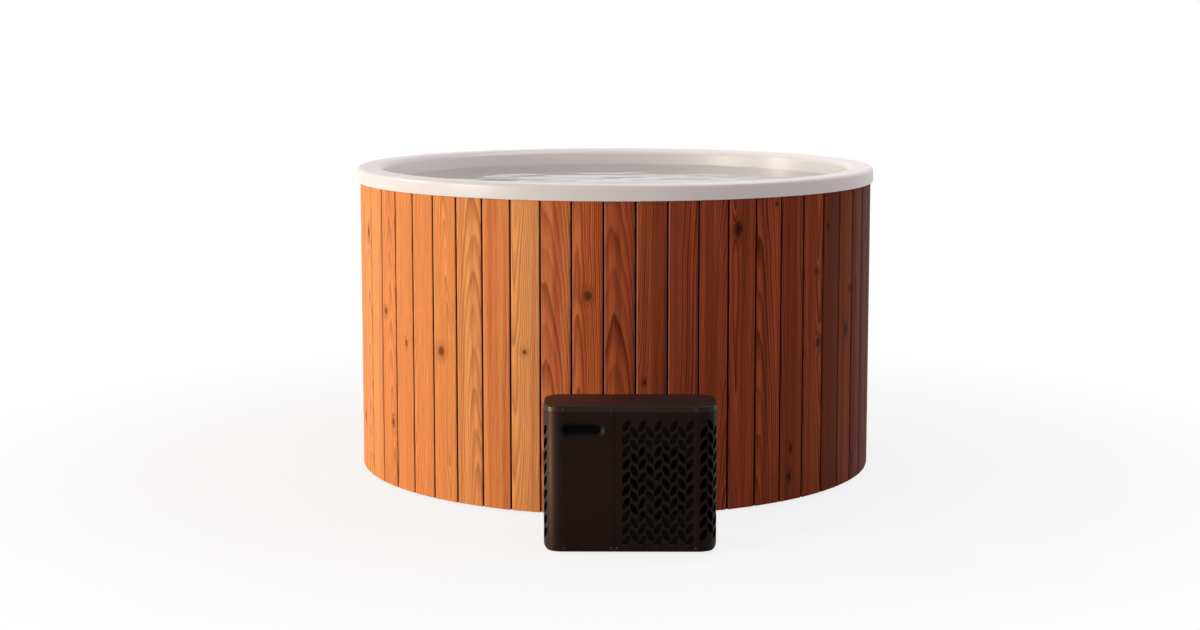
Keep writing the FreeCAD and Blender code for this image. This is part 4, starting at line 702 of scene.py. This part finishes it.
skin("copper_lines", copper)
green_board = speckled("green_board", (0.02, 0.12, 0.05, 1.0), (0.012, 0.075, 0.035, 1.0),
                       grit=800.0, roughness=0.5, relief=0.0002)
dress(green_board, "control_board", "display_driver")


# Steel screws, three to a stave, are driven outwards through the timber rings into the backs
# of the boards.
screw_steel = brushed("screw_steel", (0.62, 0.62, 0.6, 1.0), (0.48, 0.48, 0.48, 1.0),
                      metallic=1.0, roughness=0.35)
dress(screw_steel, "stave_screws")


# The evaporator is a stack of thin pleated aluminium fins in a black coat, pressed side by side
# across the back of the unit for the fan to draw air through.
fin_low, fin_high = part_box("evaporator")
FIN_COUNT = 112
FIN_FOLDS = 6
FIN_WAVE = 0.0024
FIN_SHEET = 0.0003


def pleated_fin():
    """One fin, folded in a shallow zigzag from front to back."""
    shape = bmesh.new()
    strips = []
    for side in (0.0, FIN_SHEET):
        for step in range(FIN_FOLDS + 1):
            across = side + FIN_WAVE * (step % 2)
            along = fin_low[1] + (fin_high[1] - fin_low[1]) * step / FIN_FOLDS
            strips.append([shape.verts.new((across, along, fin_low[2])),
                           shape.verts.new((across, along, fin_high[2]))])
    loop = strips[:FIN_FOLDS + 1] + strips[:FIN_FOLDS:-1]
    for here, there in zip(loop, loop[1:] + loop[:1]):
        shape.faces.new((here[0], there[0], there[1], here[1]))
    shape.faces.new([strip[1] for strip in loop])
    shape.faces.new([strip[0] for strip in reversed(loop)])
    bmesh.ops.recalc_face_normals(shape, faces=shape.faces)
    return as_mesh(shape, "pleated_fin")


fin_tree, given = new_tree("fin_stack", {
    "Count": "Int", "Start": "Vector", "Step": "Vector", "Finish": "Material"})
line = add(fin_tree, "GeometryNodeMeshLine",
           {"Count": given["Count"], "Start Location": given["Start"], "Offset": given["Step"]})
stack = add(fin_tree, "GeometryNodeInstanceOnPoints", {"Points": line, "Instance": given["Mesh"]})
end_tree(fin_tree, stack, given["Finish"])
fin_coat = brushed("black_fin_coat", (0.01, 0.0105, 0.011, 1.0), (0.02, 0.0205, 0.0215, 1.0),
                   metallic=0.3, roughness=0.55)
fin_pitch = (fin_high[0] - fin_low[0] - FIN_WAVE - FIN_SHEET) / (FIN_COUNT - 1)
fin_stack = grow("fin_stack", pleated_fin(), fin_tree, {
    "Count": FIN_COUNT, "Start": (fin_low[0], 0.0, 0.0), "Step": (fin_pitch, 0.0, 0.0),
    "Finish": fin_coat})
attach(fin_stack, "root")
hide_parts("evaporator")


# The casing is folded steel sheet in a near-black satin powder coat. Its grille and sides are
# pierced with rows of pointed air slots, and the panels are screwed to the base pan.
def powder_coat(name, light, dark, roughness, shine, tint):
    """Baked powder paint with its fine orange-peel skin."""
    finish, tree, shader = new_finish(name, {
        "Specular IOR Level": shine, "Specular Tint": tint})
    place = add(tree, "ShaderNodeTexCoord", {}, out="Object")
    peel = noise(tree, place, 650.0)
    broad = noise(tree, place, 9.0)
    share = fitted(tree, broad, 0.3, 0.7, 0.0, 1.0)
    feed(tree, mixed(tree, share, light, dark), shader.inputs["Base Color"])
    feed(tree, fitted(tree, peel, 0.3, 0.7, roughness - 0.05, roughness + 0.05),
         shader.inputs["Roughness"])
    bumped(tree, shader, peel, distance=0.0002, strength=0.3)
    return finish


panel_coat = powder_coat("panel_coat", (0.0048, 0.0028, 0.0026, 1.0),
                         (0.006, 0.0036, 0.0033, 1.0), roughness=0.45, shine=0.1,
                         tint=(1.0, 0.58, 0.46, 1.0))
for name in ("front_grille", "right_side_panel", "left_side_panel", "control_panel",
             "rear_panel"):
    skin(name, panel_coat, angle=25)
cover_coat = powder_coat("cover_coat", (0.0095, 0.0072, 0.0074, 1.0),
                         (0.0115, 0.0088, 0.009, 1.0), roughness=0.36, shine=0.14,
                         tint=(1.0, 0.8, 0.76, 1.0))
skin("top_cover", cover_coat, angle=40)


# A soft black rubber strip stands along the partition's front edge, behind the seam of the two
# front panels, as painted shade that keeps the seam dark.
seal_low = (-0.0075, -1.3218, 0.0295)
seal_high = (0.0025, -1.3191, 0.4035)
shape = bmesh.new()
bmesh.ops.create_cube(shape, size=1.0)
bmesh.ops.scale(shape, verts=shape.verts,
                vec=[high - low for low, high in zip(seal_low, seal_high)])
bmesh.ops.translate(shape, verts=shape.verts,
                    vec=[(low + high) / 2 for low, high in zip(seal_low, seal_high)])
bmesh.ops.bevel(shape, geom=shape.edges, offset=0.0008, segments=2, affect="EDGES")
mesh = as_mesh(shape, "seam_shade_strip")
mesh.materials.append(black_rubber)
seam_shade_strip = placed("seam_shade_strip", mesh)
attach(seam_shade_strip, "root")


# Round-headed black screws with a hexagon socket hold the cover to its rail and the panels to
# the base pan, along the front and the back.
def spots_mesh(name, spots):
    """Loose points, each with a turn about Z stored on it."""
    mesh = bpy.data.meshes.new(name)
    mesh.from_pydata([spot[:3] for spot in spots], [], [])
    turns = mesh.attributes.new("turn", "FLOAT", "POINT")
    turns.data.foreach_set("value", [spot[3] for spot in spots])
    return mesh


screw_tree, given = new_tree("casing_screws", {
    "Head Radius": "Float", "Head Height": "Float", "Socket": "Float", "Shank": "Float",
    "Length": "Float", "Finish": "Material"})
crown = add(screw_tree, "GeometryNodeMeshUVSphere",
            {"Segments": 20, "Rings": 12, "Radius": given["Head Radius"]})
flat = maths(screw_tree, "DIVIDE", given["Head Height"], given["Head Radius"])
flat = add(screw_tree, "ShaderNodeCombineXYZ", {0: 1.0, 1: 1.0, 2: flat})
crown = add(screw_tree, "GeometryNodeTransform", {"Geometry": crown, "Scale": flat})
socket = add(screw_tree, "GeometryNodeMeshCylinder", {
    "Vertices": 6, "Radius": given["Socket"], "Depth": given["Head Height"]})
rise = add(screw_tree, "ShaderNodeCombineXYZ", {2: given["Head Height"]})
socket = add(screw_tree, "GeometryNodeTransform", {"Geometry": socket, "Translation": rise})
head = screw_tree.nodes.new("GeometryNodeMeshBoolean")
head.operation = "DIFFERENCE"
screw_tree.links.new(crown, head.inputs["Mesh 1"])
screw_tree.links.new(socket, head.inputs["Mesh 2"])
shank = add(screw_tree, "GeometryNodeMeshCylinder", {
    "Vertices": 12, "Radius": given["Shank"], "Depth": given["Length"]})
drop = maths(screw_tree, "MULTIPLY", given["Length"], -0.5)
drop = add(screw_tree, "ShaderNodeCombineXYZ", {2: drop})
shank = add(screw_tree, "GeometryNodeTransform", {"Geometry": shank, "Translation": drop})
whole = screw_tree.nodes.new("GeometryNodeJoinGeometry")
for part in (head.outputs[0], shank):
    screw_tree.links.new(part, whole.inputs[0])
heading = add(screw_tree, "GeometryNodeInputNamedAttribute", {"Name": "turn"}, data_type="FLOAT")
heading = add(screw_tree, "ShaderNodeCombineXYZ", {0: math.pi / 2, 2: heading})
heading = add(screw_tree, "FunctionNodeEulerToRotation", {0: heading})
screws = add(screw_tree, "GeometryNodeInstanceOnPoints", {
    "Points": given["Mesh"], "Instance": whole.outputs[0], "Rotation": heading})
end_tree(screw_tree, screws, given["Finish"])
SCREW_SIZES = {"Head Radius": 0.004, "Head Height": 0.0015, "Socket": 0.0018, "Shank": 0.002,
               "Length": 0.006, "Finish": black_paint}
COVER_COLUMNS = (-0.1485, -0.0105, 0.2345)
PANEL_COLUMNS = (-0.1485, -0.0105, 0.0055, 0.2345)
for node, columns in (("cover_screws", COVER_COLUMNS), ("panel_screws", PANEL_COLUMNS)):
    low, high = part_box(node)
    front = low[1] + SCREW_SIZES["Head Height"]
    back = high[1] - SCREW_SIZES["Head Height"]
    height = (low[2] + high[2]) / 2
    spots = [(across, front, height, 0.0) for across in columns]
    spots += [(across, back, height, math.pi) for across in columns]
    piece = grow(node + "_heads", spots_mesh(node + "_spots", spots), screw_tree, SCREW_SIZES)
    shade_smooth(piece.data, angle=35)
    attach(piece, "root")
    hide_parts(node)


# The display is a satin black moulding let into the control panel, dished towards a dark
# glass with the driver board behind it.
frame_black = speckled("display_frame", (0.006, 0.0055, 0.005, 1.0), (0.008, 0.0075, 0.007, 1.0),
                       grit=300.0, roughness=0.5, relief=0.0001,
                       levels={"Specular IOR Level": 0.05})
skin("display_frame", frame_black)
glass_black = speckled("display_glass", (0.0012, 0.0012, 0.0013, 1.0),
                       (0.002, 0.002, 0.0022, 1.0), grit=120.0, roughness=0.14, relief=0.00003,
                       levels={"Specular IOR Level": 0.02})
skin("display_glass", glass_black)


# The stage: a pale floor that keeps the shadow, a white surround, soft lamps from the left, a weak
# one overhead, a narrow one near the floor for the heat pump, and the camera where the picture was
# taken from.
WHITE = (1.0, 1.0, 1.0, 1.0)
ROOM_FILL = (0.42, 0.365, 0.385, 1.0)


def plainly_seen(tree):
    """1 for a ray from the camera, or one sent on by a shiny or a clear surface, else 0."""
    path = tree.nodes.new("ShaderNodeLightPath")
    seen = maths(tree, "MAXIMUM", path.outputs["Is Camera Ray"], path.outputs["Is Glossy Ray"])
    return maths(tree, "MAXIMUM", seen, path.outputs["Is Transmission Ray"])


shape = bmesh.new()
bmesh.ops.create_grid(shape, x_segments=1, y_segments=1, size=40.0)
mesh = as_mesh(shape, "floor")
floor_finish, tree, shader = new_finish("pale_floor", {
    "Base Color": (0.9, 0.9, 0.9, 1.0), "Roughness": 0.9, "Specular IOR Level": 0.0})
place = add(tree, "ShaderNodeTexCoord", {}, out="Object")
far = add(tree, "ShaderNodeVectorMath", {0: place}, out="Value", operation="LENGTH")
white = fitted(tree, far, 1.2, 2.6, 0.82, 1.0)
white = maths(tree, "MULTIPLY", white, plainly_seen(tree))
glow = add(tree, "ShaderNodeEmission", {"Color": WHITE, "Strength": 1.0})
floor_look = add(tree, "ShaderNodeMixShader", {0: white, 1: shader.outputs[0], 2: glow})
tree.links.new(floor_look, tree.nodes["Material Output"].inputs["Surface"])
mesh.materials.append(floor_finish)
floor = placed("floor", mesh)
floor.location = (0.0, 0.0, -0.0005)

world = bpy.data.worlds.new("surround")
world.use_nodes = True
bpy.context.scene.world = world
tree = world.node_tree
sky = tree.nodes["Background"]
feed(tree, mixed(tree, plainly_seen(tree), ROOM_FILL, WHITE), sky.inputs["Color"])
sky.inputs["Strength"].default_value = 1.0


def soft_lamp(name, place, target, size, watts, colour, kind="AREA"):
    """A round soft lamp that faces a point."""
    light = bpy.data.lights.new(name, kind)
    if kind == "AREA":
        light.shape = "DISK"
        light.size = size
    else:
        light.shadow_soft_size = size / 2
    light.energy = watts
    light.color = colour
    lamp = placed(name, light)
    lamp.location = place
    facing = [there - here for here, there in zip(place, target)]
    flat = math.hypot(facing[0], facing[1])
    lamp.rotation_euler = (math.atan2(flat, -facing[2]), 0.0, math.atan2(-facing[0], facing[1]))
    return light


soft_lamp("broad_lamp", place=(-11.5, -6.1, 2.3), target=(0.0, 0.0, 0.6), size=4.0, watts=715.0,
          colour=(0.95, 0.905, 0.73))
soft_lamp("side_lamp", place=(-12.5, 1.85, 3.9), target=(0.0, 0.0, 0.8), size=1.0, watts=500.0,
          colour=(1.0, 0.93, 0.77))
soft_lamp("top_lamp", place=(1.2, 0.3, 3.3), target=(0.0, 0.0, 1.0), size=1.8, watts=32.0,
          colour=(1.0, 0.92, 0.92))
low_lamp = soft_lamp("low_lamp", place=(-3.0, -1.75, 0.22), target=(-0.16, -1.3, 0.24), size=0.5,
                     watts=1300.0, colour=(1.0, 0.76, 0.45), kind="SPOT")
low_lamp.spot_size = math.radians(13.0)
low_lamp.spot_blend = 0.8

lens = bpy.data.cameras.new("camera")
lens.sensor_width = 36.0
lens.lens = 58.78
lens.shift_y = -0.06
lens.clip_end = 100.0
camera = placed("camera", lens)
camera.location = (-0.0084, -6.8793, 1.5349)
camera.rotation_euler = (math.pi / 2 - 0.112, 0.0, 0.0065)
bpy.context.scene.camera = camera
bpy.context.scene.view_settings.view_transform = "Standard"
